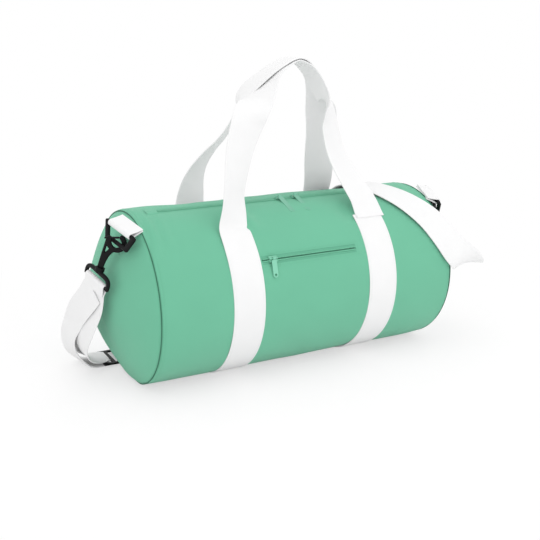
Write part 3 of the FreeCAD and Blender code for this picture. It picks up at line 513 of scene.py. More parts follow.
def end_panel(side, sign):
    """A domed disc from its hub to the seam."""
    share_grid, turn_grid = np.meshgrid(dome_shares, dome_turns, indexing="ij")
    centre = np.array([sign * HALF_LENGTH, 0, AXIS_HEIGHT])
    points = centre + (on_barrel(centre[0], turn_grid, 0) - centre) * share_grid[..., None]
    rise = dome_rise(side, share_grid, turn_grid, points[..., 1], points[..., 2])
    points[..., 0] = sign * (HALF_LENGTH + rise)
    hub = centre + np.array([sign * dome_rise(side, 0, 0, 0, AXIS_HEIGHT), 0, 0])
    points = np.vstack([points.reshape(-1, 3), hub])
    rows, columns = share_grid.shape
    faces = grid_faces(rows, columns, loop=True)
    faces += [(rows * columns, (j + 1) % columns, j) for j in range(columns)]
    panel = new_piece(f"{side}_end_canvas", points, faces, points[:, 1:])
    return thicken(welded(panel, along=Vector((sign, 0, 0))), CANVAS_THICK)


def seam_shadow_ring(side, sign):
    """A thin dark ring in the seam, a painted shadow of the turned edges."""
    turns, round_ring = np.radians(np.arange(-180, 180, 2)), np.radians(np.arange(0, 360, 45))
    turn_grid, round_grid = np.meshgrid(turns, round_ring, indexing="ij")
    xs = sign * SEAM_X + SEAM_SHADOW_RADIUS * np.cos(round_grid)
    ring = on_barrel(xs, turn_grid, SEAM_LIFT + SEAM_SHADOW_RADIUS * np.sin(round_grid))
    ring = np.concatenate([ring, ring[:1]])
    return welded(grid(f"{side}_seam_shadow_ring", ring, np.zeros(ring.shape[:2] + (2,)), loop=True))


for side, sign in SIDES:
    settle(end_panel(side, sign), canvas, "bag", "body_fabric", f"{side}_end_panel")
    binding_turns = np.radians(np.arange(-180, 180, 4))
    binding = patch(
        f"{side}_binding_tape", sign * BINDING_XS, binding_turns, BINDING_LIFT, BINDING_THICK, loop=True
    )
    settle(binding, lining, "bag", "lining_fabric", f"{side}_seam_binding")
    # The dark ring is a painted shadow along the seam.
    settle(seam_shadow_ring(side, sign), seam_shade, "bag", "body_fabric")
print("end panels and bindings made")

# %% [markdown]
# ## Webbing bands
# Straps and handles are flat woven webbing. A curve with a bevel could draw them, but its twist is
# hard to steer. So a band is swept through frames: it follows a smooth curve through its route's
# points, and its width turns with the way the route says the outer face looks. It has a rounded
# selvedge, real thickness, and a UV map in metres for the weave.

# %% Band helpers
SELVEDGE, WEB_CROWN, SELVEDGE_SHARE = 0.7 * MM, 0.12 * MM, 0.22
WEB_COLUMNS = 9


def unit(vectors):
    vectors = np.asarray(vectors, float)
    return vectors / np.linalg.norm(vectors, axis=-1, keepdims=True)


def squared(vector, way):
    """The part of a vector that is square to a way, at unit length."""
    return unit(vector - way * (way @ vector))


def lengths_along(points):
    """The length of a line up to each of its points."""
    return np.concatenate([[0], np.cumsum(np.linalg.norm(np.diff(points, axis=0), axis=1))])


def smooth_line(values, knots, places):
    """A smooth curve through values at knots, read at places."""
    values = np.asarray(values, float)
    slopes = np.zeros_like(values)
    gaps = np.diff(knots)[:, None]
    steps = np.diff(values, axis=0) / gaps
    slopes[1:-1] = (steps[:-1] * gaps[1:] + steps[1:] * gaps[:-1]) / (gaps[1:] + gaps[:-1])
    slopes[0], slopes[-1] = steps[0], steps[-1]
    cells = np.clip(np.searchsorted(knots, places, side="right") - 1, 0, len(knots) - 2)
    width = gaps[cells]
    t = ((places - knots[cells]) / width[:, 0])[:, None]
    return (
        values[cells] * (2 * t**3 - 3 * t**2 + 1)
        + slopes[cells] * width * (t**3 - 2 * t**2 + t)
        + values[cells + 1] * (3 * t**2 - 2 * t**3)
        + slopes[cells + 1] * width * (t**3 - t**2)
    )


def route_frames(points, faces, step=4 * MM):
    """Middles, width directions and outer faces at even steps along a route."""
    points = np.asarray(points, float)
    gaps = np.sqrt(np.linalg.norm(np.diff(points, axis=0), axis=1))
    knots = np.concatenate([[0], np.cumsum(gaps)])
    dense = np.linspace(0, knots[-1], 60 * len(points))
    lengths = lengths_along(smooth_line(points, knots, dense))
    count = max(4, int(round(lengths[-1] / step)) + 1)
    places = np.interp(np.linspace(0, lengths[-1], count), lengths, dense)
    middles = smooth_line(points, knots, places)
    outer = smooth_line(unit(faces), knots, places)
    ways = unit(np.gradient(middles, axis=0))
    across = unit(np.cross(ways, outer))
    return middles, across, np.cross(across, ways)


def band(name, frames, start=0.0):
    """A webbing band through frames. start is the length of strap before it, for the weave."""
    middles, across, outer = frames
    half, edge = WEB_WIDTH / 2, WEB_THICK * SELVEDGE_SHARE
    spread = np.linspace(-1, 1, WEB_COLUMNS)
    top = [(s, WEB_THICK / 2 + c) for s, c in zip(spread * (half - SELVEDGE), WEB_CROWN * (1 - spread**2))]
    profile = top + [(half, edge), (half, -edge)]
    profile += [(s, -t) for s, t in top[::-1]] + [(-half, -edge), (-half, edge)]
    sides = len(profile)
    points = np.array([[m + a * s + f * t for s, t in profile] for m, a, f in zip(middles, across, outer)])
    uvs = np.array([[(s, v) for s, t in profile] for v in start + lengths_along(middles)])
    faces = [(b, a, d, c) for a, b, c, d in grid_faces(len(middles), sides, loop=True)]
    faces.append(tuple(range(sides)))
    faces.append(tuple(range((len(middles) - 1) * sides, len(middles) * sides))[::-1])
    return welded(new_piece(name, points.reshape(-1, 3), faces, uvs.reshape(-1, 2)))


def part_of(frames, first, last):
    return tuple(values[first : last + 1] for values in frames)


# %% [markdown]
# ## Girth webbing and handles
# On the real bag one webbing strap goes up a handle, down the bag, under it and up the other side.
# The girth part is sewn flat; the handle part leaves it at the foot, turns a quarter and arches
# over. They are separate pieces here, and the handles are given no body.

# %% Girth webbing
LEAVE_TURN = math.radians(37)
GIRTH_TURNS = {"left": math.radians(55.5), "right": LEAVE_TURN}
for side, middle in GIRTH_PLACES.items():
    turns = np.linspace(GIRTH_TURNS[side], 2 * math.pi - GIRTH_TURNS[side], 150)
    middles = on_barrel(middle, turns, WEB_THICK / 2)
    outside = on_barrel(middle, turns, WEB_THICK / 2 + 4 * MM)
    across = np.tile([1.0, 0, 0], (len(turns), 1))
    girth = band(f"{side}_girth_strap", (middles, across, unit(outside - middles)))
    settle(girth, webbing, "bag", "webbing", f"{side}_girth_webbing")
print("girth straps made")

# %% [markdown]
# The rows of a handle are shares: of half the spacing of the girth straps, of the foot's depth, of
# the rise and of a quarter twist. The left legs carry on from the girth straps; the right legs are
# sewn on top of them, a little to the right, as the photograph shows.

# %% Handle rows
FRONT_HANDLE_SHARES = [
    (-1.000, 1.000, 0.000, -0.120),
    (-0.970, 0.957, 0.102, -0.230),
    (-0.950, 0.907, 0.206, -0.320),
    (-0.904, 0.844, 0.305, -0.280),
    (-0.846, 0.768, 0.409, -0.200),
    (-0.771, 0.699, 0.513, -0.110),
    (-0.681, 0.649, 0.613, 0.000),
    (-0.575, 0.590, 0.706, 0.200),
    (-0.358, 0.353, 0.790, 0.800),
    (-0.198, 0.151, 0.864, 1.000),
    (0.000, 0.038, 0.950, 1.000),
    (0.250, 0.000, 1.000, 1.000),
    (0.431, 0.063, 0.942, 1.000),
    (0.526, 0.239, 0.838, 1.000),
    (0.560, 0.403, 0.764, 0.933),
    (0.615, 0.416, 0.708, 0.533),
    (0.670, 0.353, 0.613, 0.356),
    (0.712, 0.353, 0.513, 0.300),
    (0.759, 0.403, 0.409, 0.267),
    (0.831, 0.504, 0.305, 0.222),
    (0.908, 0.642, 0.206, 0.156),
    (0.975, 0.844, 0.102, 0.078),
    (1.000, 1.000, 0.000, 0.000),
]
REAR_HANDLE_SHARES = [
    (-1.000, 1.000, 0.000, 0.000),
    (-0.987, 0.951, 0.099, 0.100),
    (-0.966, 0.888, 0.201, 0.244),
    (-0.909, 0.794, 0.298, 0.367),
    (-0.797, 0.642, 0.400, 0.456),
    (-0.651, 0.454, 0.501, 0.533),
    (-0.543, 0.353, 0.598, 0.600),
    (-0.461, 0.315, 0.700, 0.689),
    (-0.388, 0.315, 0.772, 0.967),
    (-0.224, 0.151, 0.865, 1.000),
    (-0.009, 0.038, 0.949, 1.000),
    (0.250, 0.000, 1.000, 1.000),
    (0.457, 0.025, 0.943, 1.000),
    (0.603, 0.063, 0.839, 1.000),
    (0.672, 0.139, 0.755, 0.933),
    (0.741, 0.176, 0.691, 0.611),
    (0.784, 0.202, 0.598, 0.311),
    (0.810, 0.265, 0.501, 0.178),
    (0.836, 0.365, 0.400, 0.144),
    (0.875, 0.491, 0.298, 0.111),
    (0.922, 0.630, 0.201, 0.078),
    (0.974, 0.819, 0.099, 0.044),
    (1.000, 1.000, 0.000, 0.000),
]

# %% Handles
HANDLE_TOP, NEST = 470 * MM, WEB_THICK + 1.2 * MM
FOOT_DEPTH = 131.9 * MM * math.sin(LEAVE_TURN)
FOOT_HEIGHT = AXIS_HEIGHT + RADIUS * math.cos(LEAVE_TURN) + 0.7 * MM
LEFT_FOOT_TURNS, RIGHT_FOOT_TURNS = np.radians((56, 51, 46, 41)), np.radians((38.8, 40.6))
LEFT_FOOT_TWISTS = np.radians((0, -1, -2.5, -5))
FRONT_FOOT_LIFTS = np.array((1.06, 1.1, 1.6, 2.6)) * MM
REAR_FOOT_LIFT, RIGHT_FOOT_LIFT = 1.06 * MM, 3.05 * MM
FRONT_LEAVE_LIFT, RIGHT_LEG_LIFT, RIGHT_SHIFT = 2.6 * MM, 1.8 * MM, 4 * MM
LIFT_SHARE, SHIFT_SHARE = 0.15, 0.3


def handle_frames(side, rows):
    """The handle's frames; side is -1 for the front handle and 1 for the rear one, which lies on top."""
    front = side < 0
    rise = HANDLE_TOP - WEB_THICK / 2 - FOOT_HEIGHT - (NEST if front else 0)
    outward = np.array([0, side * math.sin(LEAVE_TURN), math.cos(LEAVE_TURN)])
    foot_lifts = FRONT_FOOT_LIFTS if front else REAR_FOOT_LIFT
    points = list(on_barrel(-GIRTH_OFFSET, -side * LEFT_FOOT_TURNS, foot_lifts))
    across = [(math.cos(turn), -math.sin(turn) if front else 0, 0) for turn in LEFT_FOOT_TWISTS]
    for i, (x_share, depth_share, rise_share, twist_share) in enumerate(rows):
        depth = side * FOOT_DEPTH * depth_share
        point = np.array([x_share * GIRTH_OFFSET, depth, FOOT_HEIGHT + rise * rise_share])
        if i == 0 and front:
            point += outward * FRONT_LEAVE_LIFT
        if x_share > 0:
            point[0] += RIGHT_SHIFT * max(0, 1 - rise_share / SHIFT_SHARE)
            point += outward * RIGHT_LEG_LIFT * max(0, 1 - rise_share / LIFT_SHARE)
        points.append(point)
        turn = math.radians(90) * twist_share
        leg = 1 if i <= len(rows) // 2 else -1
        across.append((leg * math.cos(turn), side * math.sin(turn), 0))
    points += list(on_barrel(GIRTH_OFFSET + RIGHT_SHIFT, -side * RIGHT_FOOT_TURNS, RIGHT_FOOT_LIFT))
    across += [(-1, 0, 0), (-1, 0, 0)]
    ways = unit(np.gradient(np.array(points), axis=0))
    return route_frames(points, np.cross(ways, np.array(across)), step=3 * MM)


def metres(frames):
    """The length along frames, for the printed lines."""
    return round(float(lengths_along(frames[0])[-1]), 3)


HANDLES = ("front_handle", -1, FRONT_HANDLE_SHARES), ("rear_handle", 1, REAR_HANDLE_SHARES)
for label, side, rows in HANDLES:
    frames = handle_frames(side, rows)
    piece = band(f"{label}_strap", frames)
    settle(piece, webbing, None, "webbing", label)
    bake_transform(piece)
    print(label, "length", metres(frames), "m")

# %% [markdown]
# ## Shoulder strap
# One long webbing strap is clipped to both ends. On the left it is doubled through the hook's base
# and comes back to its slider on the floor; behind the bag it lies on the floor, then it climbs the
# rear, crosses the right end and folds under to the right hook. A single band could follow it all,
# but it would tear when the hooks move. So where it leaves the hooks, it is cut into short lengths,
# the last of which belongs to the bag. The hooks' own places are read from the joints of the imported model.

# %% Strap ends at the hooks
BASE_DROP, LOOP_LEG = 22 * MM, 14 * MM
LAYER, BAR_BEND = 1.3 * MM, 3.85 * MM
BASE_BARS = {"left": np.array((0.18, -0.93, -0.30)), "right": np.array((0.40, -0.91, -0.08))}
HOOK_JOINTS = {
    "ring_bar": "ring_hinge",
    "trough": "hook_pivot",
    "gate_pivot": "gate_press",
    "swivel": "base_swivel",
}
joints = {joint["name"]: joint for joint in frame["joints"]}


def hook_places(side):
    """Places and directions of one end's ring, hook, gate and swivel base, from their joints."""
    found = {label: joints[f"{side}_{name}"] for label, name in HOOK_JOINTS.items()}
    ends = {label: np.array(joint["pos_m"]) for label, joint in found.items()}
    axes = {label: unit(joint["axis"]) for label, joint in found.items()}
    hang = -axes["swivel"] * np.sign(axes["swivel"][2])
    ends["hang"] = hang
    ends["bar_way"] = -axes["ring_bar"] * np.sign(axes["ring_bar"][1])
    ends["reach"] = np.cross(hang, axes["gate_pivot"])
    ends["base_across"] = squared(BASE_BARS[side], hang)
    ends["over"] = np.cross(hang, ends["base_across"])
    ends["strap_bar"] = ends["swivel"] + hang * BASE_DROP
    ends["leg_end"] = ends["strap_bar"] + hang * LOOP_LEG
    return ends


def hairpin_frames(bar, towards, across, leg):
    """Frames of a webbing loop: in along one layer, round the bar and back along the other."""
    towards = squared(towards, across)
    over = np.cross(towards, across)
    legs = []
    for share in np.linspace(1, 0.12, 6):
        legs.append((bar + towards * leg * share, over * (LAYER + (BAR_BEND - LAYER) * (1 - share) ** 1.5)))
    rows = [(place + rise, over) for place, rise in legs]
    for angle in np.radians(np.linspace(0, 180, 13)):
        out = over * math.cos(angle) - towards * math.sin(angle)
        rows.append((bar + out * BAR_BEND, out))
    rows += [(place - rise, -over) for place, rise in legs[::-1]]
    middles, outer = (np.array(values) for values in zip(*rows))
    ways = unit(np.gradient(middles, axis=0))
    outer = unit(outer - ways * np.sum(outer * ways, axis=1, keepdims=True))
    return middles, np.tile(across, (len(middles), 1)), outer


HOOKS = {side: hook_places(side) for side, sign in SIDES}
for side, ends in HOOKS.items():
    loop_frames = hairpin_frames(ends["strap_bar"], ends["hang"], ends["base_across"], LOOP_LEG)
    loop = band(f"strap_{side}_end_loop", loop_frames)
    settle(loop, webbing, f"{side}_swivel_base", "webbing", f"strap_{side}_loop")
print("hooks read from joints:", list(HOOKS))

# %% Strap routes
INNER_ROUTE = [
    ((-309, -15, 128), (-1.0, -0.1, 0.0)),
    ((-316, -3, 101), (-1.0, -0.1, 0.0)),
    ((-320, 20, 70), (-1.0, -0.05, -0.15)),
    ((-312, 46, 42), (-0.85, 0.0, -0.5)),
    ((-292.5, 73, 18.5), (-0.4, 0.0, -0.9)),
    ((-269.5, 92, 7.6), (0.0, 0.0, -1.0)),
    ((-257.8, 92, 4.1), (0.0, 0.0, -1.0)),
]
OUTER_ROUTE = [
    ((-316, 3, 131), (-1.0, -0.1, 0.1)),
    ((-323, 28, 106), (-1.0, -0.1, 0.0)),
    ((-326, 55, 76), (-1.0, 0.0, -0.05)),
    ((-324, 72, 49), (-0.9, 0.0, -0.4)),
    ((-315, 83, 25), (-0.6, 0.0, -0.8)),
    ((-301, 90, 8), (-0.3, 0.0, -0.95)),
]
FLOOR_ROUTE = [
    ((-285, 91.5, 1.6), (-0.08, 0.0, -1.0)),
    ((-270, 92, 1.3), (0.0, 0.0, -1.0)),
    ((-180, 92, 1.3), (0.0, 0.0, -1.0)),
    ((-110, 98, 1.3), (0.0, 0.0, -1.0)),
    ((-40, 105, 1.3), (0.0, 0.0, -1.0)),
    ((25, 113, 1.3), (0.0, 0.0, -1.0)),
    ((80, 125, 8.5), (0.0, 0.22, -0.97)),
    ((122, 144, 22), (0.0, 0.55, -0.83)),
]
SHOULDER_ROUTE = [
    ((150, 157, 48), (0.0, 0.85, -0.53)),
    ((164, 154, 84), (0.0, 0.98, -0.18)),
    ((171, 145, 121), (0.0, 1.0, 0.1)),
    ((174, 131, 162), (0.0, 0.96, 0.28)),
    ((174, 117, 195.5), (0.0, 0.87, 0.5)),
    ((172, 95.5, 223.5), (0.0, 0.71, 0.71)),
    ((169, 67.5, 245), (0.0, 0.5, 0.87)),
    ((165.5, 35, 258.5), (0.0, 0.26, 0.97)),
    ((166, 0, 263), (0.0, 0.0, 1.0)),
    ((177, -35, 258.5), (0.0, -0.26, 0.97)),
    ((200, -69.5, 243.7), (0.0, -0.52, 0.857)),
    ((224, -99.5, 219.5), (-0.03, -0.74, 0.67)),
    ((242, -119, 192.5), (-0.06, -0.86, 0.50)),
    ((256, -130, 171), (-0.12, -0.95, 0.30)),
]
FOLD_ROUTE = [
    ((267, -137, 158), (-0.30, -0.94, 0.12)),
    ((279, -136, 148), (-0.30, -0.75, -0.58)),
    ((292, -122, 143), (-0.15, -0.20, -0.97)),
    ((306, -94, 138), (0.0, 0.10, -1.0)),
    ((311, -70, 128), (0.25, 0.10, -0.95)),
    ((313, -48, 122.5), (0.50, 0.15, -0.85)),
    ((313.8, -31, 126), (0.72, 0.20, -0.60)),
    ((312.2, -19.5, 137), (0.86, 0.32, -0.05)),
    ((309.6, -16.6, 147), (0.88, 0.36, 0.3)),
]

# %% Strap lengths
STRAP_FLOOR, CHAIN_LENGTH, LEAD_FRAMES = 1.25 * MM, 40 * MM, 14


def led_in(frames, across):
    """Turn the first frames of a strap smoothly from an exact width direction."""
    middles, wide, outer = (values.copy() for values in frames)
    ways = unit(np.gradient(middles, axis=0))
    across = across if across @ wide[LEAD_FRAMES] > 0 else -across
    for i in range(LEAD_FRAMES):
        share = 0.5 + 0.5 * math.cos(math.pi * i / LEAD_FRAMES)
        wide[i] = squared(across * share + wide[i] * (1 - share), ways[i])
        outer[i] = np.cross(wide[i], ways[i])
    return middles, wide, outer


def strap_frames(routes, first, last=None):
    """Frames along joined routes, with an exact first and last middle, face and width direction."""
    rows = [first[:2]] + [(np.array(point) * MM, face) for route in routes for point, face in route]
    if last is not None:
        rows.append(last[:2])
    middles, across, outer = route_frames(*zip(*rows))
    middles[:, 2] = np.maximum(middles[:, 2], STRAP_FLOOR)
    frames = led_in((middles, across, outer), first[2])
    if last is not None:
        middles, across, outer = led_in(tuple(values[::-1] for values in frames), last[2])
        frames = (middles[::-1], across[::-1], -outer[::-1])
    return frames


def nearest(frames, point_mm):
    return int(np.argmin(np.linalg.norm(frames[0] - np.array(point_mm) * MM, axis=1)))


def chained(name, frames, node):
    """Cut a strap that hangs from a hook's base into four lengths: three with no body, the last on the bag.
    """
    along = lengths_along(frames[0])
    cuts = [0] + [int(np.searchsorted(along, CHAIN_LENGTH * i)) for i in (1, 2, 3)] + [len(along) - 1]
    for i, (first, last) in enumerate(zip(cuts, cuts[1:])):
        length = part_of(frames, first, last)
        piece = band(f"{name}_{i + 1}", length, start=along[first])
        settle(piece, webbing, None if i < 3 else "bag", "webbing")
        if i < 3:
            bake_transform(piece)
    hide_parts(node)
    print(name, "length", metres(frames), "m")


left, right = HOOKS["left"], HOOKS["right"]
outer_top = (left["leg_end"] + left["over"] * LAYER, left["over"], left["base_across"])
inner_top = (left["leg_end"] - left["over"] * LAYER, left["over"], left["base_across"])
right_top = (right["leg_end"] - right["over"] * LAYER, -right["over"], right["base_across"])
long_frames = strap_frames([OUTER_ROUTE, FLOOR_ROUTE, SHOULDER_ROUTE, FOLD_ROUTE], outer_top, right_top)
print("long strap length", metres(long_frames), "m")
floor_start, climb_start, fold_start = (
    nearest(long_frames, route[0][0]) for route in (FLOOR_ROUTE, SHOULDER_ROUTE, FOLD_ROUTE)
)
right_end = tuple(values[fold_start:][::-1] for values in long_frames)
chained("strap_outer_layer", part_of(long_frames, 0, floor_start), "strap_left_outer")
chained("strap_inner_layer", strap_frames([INNER_ROUTE], inner_top), "strap_left_inner")
chained("strap_right_end", right_end, "strap_right_fold")
for label, first, last, cad_node in (
    ("strap_on_floor", floor_start, climb_start, "strap_floor_run"),
    ("strap_over_end", climb_start, fold_start, "strap_shoulder"),
):
    settle(band(label, part_of(long_frames, first, last)), webbing, "bag", "webbing", cad_node)

# %% [markdown]
# ## Tabs
# A short webbing loop is caught in each end seam and holds the ring. It is the same kind of loop as
# the strap's end, so the same frames make it, laid from the ring's bar towards the seam.

# %% Tabs
TAB_TURN, TAB_SHARE = math.radians(17), 0.76
for side, sign in SIDES:
    bar, bar_way = HOOKS[side]["ring_bar"], HOOKS[side]["bar_way"]
    to_seam = (on_barrel(sign * HALF_LENGTH, TAB_TURN, 0) - bar) * TAB_SHARE
    tab = band(f"{side}_ring_tab", hairpin_frames(bar, to_seam, bar_way, np.linalg.norm(to_seam)))
    settle(tab, webbing, "bag", "webbing", f"{side}_tab")
print("tabs made")

# %% [markdown]
# ## Zips
# Each zip is two woven tapes with a row of coil on each edge. The tapes are patches on the barrel
# just under the canvas. The coil is hundreds of equal loops. An array modifier could repeat them,
# but Geometry Nodes also serves the stitches: it places one bead at even steps along a line.


# %% Geometry Nodes helpers
def repeat_tree(name, follow):
    """One rounded bead at even steps along a path; follow turns it along the path."""
    tree = bpy.data.node_groups.new(name, "GeometryNodeTree")
    sockets = ("Geometry", "Geometry"), ("Pitch", "Float"), ("Bead Size", "Vector")
    sockets += ("Turn", "Rotation"), ("Material", "Material")
    for label, kind in sockets:
        tree.interface.new_socket(label, in_out="INPUT", socket_type=f"NodeSocket{kind}")
    tree.interface.new_socket("Geometry", in_out="OUTPUT", socket_type="NodeSocketGeometry")
    start = add(tree, "NodeGroupInput").outputs
    path = add(tree, "GeometryNodeMeshToCurve", {"Mesh": start["Geometry"]}).outputs[0]
    steps = add(tree, "GeometryNodeResampleCurve", {"Curve": path, "Length": start["Pitch"]}, mode="LENGTH")
    ball = add(tree, "GeometryNodeMeshUVSphere", {"Segments": 6, "Rings": 4, "Radius": 1}).outputs["Mesh"]
    bead = add(tree, "GeometryNodeTransform", {"Geometry": ball, "Scale": start["Bead Size"]}).outputs[0]
    turn = start["Turn"]
    if follow:
        tangent = add(tree, "GeometryNodeInputTangent").outputs[0]
        turn = add(tree, "FunctionNodeAlignRotationToVector", {"Vector": tangent}, axis="X").outputs[0]
    inputs = {"Points": steps.outputs[0], "Instance": bead, "Rotation": turn}
    beads = add(tree, "GeometryNodeInstanceOnPoints", inputs).outputs[0]
    real = add(tree, "GeometryNodeRealizeInstances", {"Geometry": beads}).outputs[0]
    soft = add(tree, "GeometryNodeSetShadeSmooth", {"Geometry": real}).outputs[0]
    painted = add(tree, "GeometryNodeSetMaterial", {"Geometry": soft, "Material": start["Material"]})
    add(tree, "NodeGroupOutput", {"Geometry": painted.outputs[0]})
    return tree


def repeated(name, tree, paths, material, pitch, size, turn=0.0):
    """Beads along several paths as one plain mesh."""
    points, edges = [], []
    for path in paths:
        edges += [(len(points) + i, len(points) + i + 1) for i in range(len(path) - 1)]
        points += [tuple(p) for p in path]
    mesh = bpy.data.meshes.new(name)
    mesh.from_pydata(points, edges, [])
    piece = linked(name, mesh)
    nodes = piece.modifiers.new("repeat", "NODES")
    nodes.node_group = tree
    sockets = {s.name: s.identifier for s in tree.interface.items_tree if s.in_out == "INPUT"}
    nodes[sockets["Pitch"]] = pitch
    nodes[sockets["Bead Size"]] = size
    nodes[sockets["Turn"]] = (turn, 0.0, 0.0)
    nodes[sockets["Material"]] = material
    return applied(piece)


coil_tree = repeat_tree("coil_row", follow=False)
stitch_tree = repeat_tree("stitch_row", follow=True)

# %% Zip tapes and coils
ZIPS = {
    "main": (ZIP_TURN, -ZIP_HALF, ZIP_HALF, ("front_zip", "rear_zip")),
    "pocket": (POCKET_TURN, POCKET_LEFT, POCKET_RIGHT, ("pocket_lower", "pocket_upper")),
}
TAPE_WIDTH, TAPE_THICK, ZIP_GAP, COIL_WIDTH = 15 * MM, 0.9 * MM, 1.2 * MM, 2.6 * MM
TAPE_LIFT, TAPE_DROP, DROP_START, DROP_WIDTH = -0.3 * MM, 1.3 * MM, 6 * MM, 2.5 * MM
COIL_LIFT, COIL_PITCH, COIL_INSET, COIL_OFFSET = 0.1 * MM, 1.6 * MM, 2 * MM, 0.4 * MM
COIL_BEAD = (0.82 * MM, 1.7 * MM, 0.7 * MM)
for turn, left_x, right_x, names in ZIPS.values():
    xs = np.linspace(left_x, right_x, int((right_x - left_x) / (5 * MM)))
    for name, front in zip(names, (1, -1)):
        edges = turn + front * ZIP_GAP / 2 / RADIUS, turn + front * (ZIP_GAP / 2 + TAPE_WIDTH) / RADIUS
        tape_turns = np.linspace(*sorted(edges), 16)
        away = np.clip((np.abs(tape_turns - turn) * RADIUS - DROP_START) / DROP_WIDTH, 0, 1)
        tape_lift = TAPE_LIFT - TAPE_DROP * away**2 * (3 - 2 * away)
        tape = patch(f"{name}_woven_tape", xs, tape_turns, tape_lift, TAPE_THICK)
        settle(tape, shaded_zip_cloth, "bag", "zip_tape", f"{name}_tape")
        middle = turn + front * (ZIP_GAP / 2 + COIL_WIDTH / 2) / RADIUS
        first_x = left_x + COIL_INSET + (COIL_OFFSET if front > 0 else 0)
        line = on_barrel(np.array([first_x, right_x - COIL_INSET]), middle, COIL_LIFT)
        row = repeated(f"{name}_coil", coil_tree, [line], coil, COIL_PITCH, COIL_BEAD, middle)
        settle(row, coil, "bag", "zip_teeth", f"{name}_teeth")
print("zip tapes and coils made")

# %% [markdown]
# A folded canvas patch covers each end of the main zip. Behind the pocket zip hangs a flat pocket
# bag, guessed from common bags. A box would do for it, but it has to follow the barrel's curve, so
# it is a flattened tube in barrel coordinates.

# %% Zip stops and pocket bag
STOP_XS, STOP_HALF_WIDTH, STOP_THICK = np.linspace(209.5, 226, 11) * MM, 10 * MM, 1 * MM
STOP_LIFT, STOP_CROWN, STOP_EDGE = 1 * MM, 0.5 * MM, 0.6 * MM
POUCH_INSET, POUCH_DOWN, POUCH_HALF_HEIGHT = 2 * MM, 34 * MM, 46 * MM
POUCH_LIFT, POUCH_HALF_DEPTH, POUCH_HALF_WIDTH = -13 * MM, 6.5 * MM, 79 * MM
across_stop = np.linspace(-1, 1, 15)
stop_turns = ZIP_TURN + across_stop * STOP_HALF_WIDTH / RADIUS
stop_lift = STOP_LIFT + STOP_CROWN * (1 - across_stop**2) - STOP_EDGE * across_stop**8
for side, sign in SIDES:
    stop = patch(f"{side}_zip_end_patch", np.sort(sign * STOP_XS), stop_turns, stop_lift, STOP_THICK)
    settle(stop, canvas, "bag", "body_fabric", f"{side}_zip_stop")
pouch_xs = np.linspace(POCKET_LEFT + POUCH_INSET, POCKET_RIGHT - POUCH_INSET, 40)
x_grid, angle_grid = np.meshgrid(pouch_xs, np.linspace(0, 2 * math.pi, 60, endpoint=False), indexing="ij")
from_middle = np.abs(x_grid - (POCKET_LEFT + POCKET_RIGHT) / 2)
depth = POUCH_HALF_DEPTH * np.clip(1 - from_middle / POUCH_HALF_WIDTH, 0, 1) ** 0.35
pouch_turns = POCKET_TURN + (POUCH_DOWN - POUCH_HALF_HEIGHT * np.cos(angle_grid)) / RADIUS
wall = np.sign(np.sin(angle_grid)) * np.abs(np.sin(angle_grid)) ** 0.7
pouch_points = on_barrel(x_grid, pouch_turns, POUCH_LIFT + wall * depth)
pouch = welded(grid("pocket_bag", pouch_points, np.stack([x_grid, pouch_turns * RADIUS], -1), loop=True))
settle(pouch, lining, "bag", "lining_fabric", "pocket_lining")
print("zip stops and pocket bag made")

# %% [markdown]
# ## Moulded hardware
# Rings, hooks, gates and swivel bases are black moulded plastic with soft edges. Joined boxes and
# cylinders with bevels would leave hard steps where bars meet. So each one is drawn as chains of
# rounded beads along its bars. A voxel remesh fuses the chains into one skin, as a mould does, and
# a little smoothing takes off the steps. They lie on the CAD solids' own bars and axes.

# %% Moulding helper
BEAD_POWER, BEAD_STEP = 3, 0.9 * MM


def bead_mesh():
    """Points and faces of a ball that is a little squared, like a moulded bar."""
    ball = bmesh.new()
    bmesh.ops.create_icosphere(ball, subdivisions=2, radius=1)
    points = np.array([v.co[:] for v in ball.verts])
    faces = [[v.index for v in f.verts] for f in ball.faces]
    ball.free()
    return points / (np.abs(points) ** BEAD_POWER).sum(axis=1, keepdims=True) ** (1 / BEAD_POWER), faces


BEAD_POINTS, BEAD_FACES = bead_mesh()


def moulding(name, axes, chains, voxel=0.5 * MM):
    """One plastic skin over chains of beads. A chain is its points and its bead's half sizes along
    the axes, in millimetres."""
    points, faces = [], []
    for path, sizes in chains:
        path = np.asarray(path, float)
        sizes = np.broadcast_to(np.asarray(sizes, float) * MM, path.shape)
        lengths = lengths_along(path)
        for place in np.linspace(0, lengths[-1], max(2, int(lengths[-1] / BEAD_STEP))):
            middle = [np.interp(place, lengths, path[:, k]) for k in range(3)]
            half = [np.interp(place, lengths, sizes[:, k]) for k in range(3)]
            first = len(points) * len(BEAD_POINTS)
            points.append(np.array(middle) + (BEAD_POINTS * half) @ axes)
            faces += [[first + k for k in face] for face in BEAD_FACES]
    piece = new_piece(name, np.concatenate(points), faces)
    skin = piece.modifiers.new("skin", "REMESH")
    skin.mode = "VOXEL"
    skin.voxel_size = voxel
    ease = piece.modifiers.new("ease", "SMOOTH")
    ease.factor = 0.5
    ease.iterations = 5
    piece = applied(piece)
    piece.data.shade_smooth()
    return piece


def arc(middle, first_way, second_way, radius, start, stop, count):
    """Points of an arc from one angle to another, in degrees."""
    angles = np.radians(np.linspace(start, stop, count))[:, None]
    return middle + radius * (np.cos(angles) * first_way + np.sin(angles) * second_way)


def plane(root, first_way, second_way):
    """A function that gives the point at some millimetres along two ways from a root."""
    return lambda u, v: root + first_way * u * MM + second_way * v * MM


def curve(points, count):
    """A smooth curve through a few points."""
    return smooth_line(points, np.arange(len(points), dtype=float), np.linspace(0, len(points) - 1, count))


# %% Rings
RING_HALF_BAR, RING_HALF_LOW = 29.5, 23


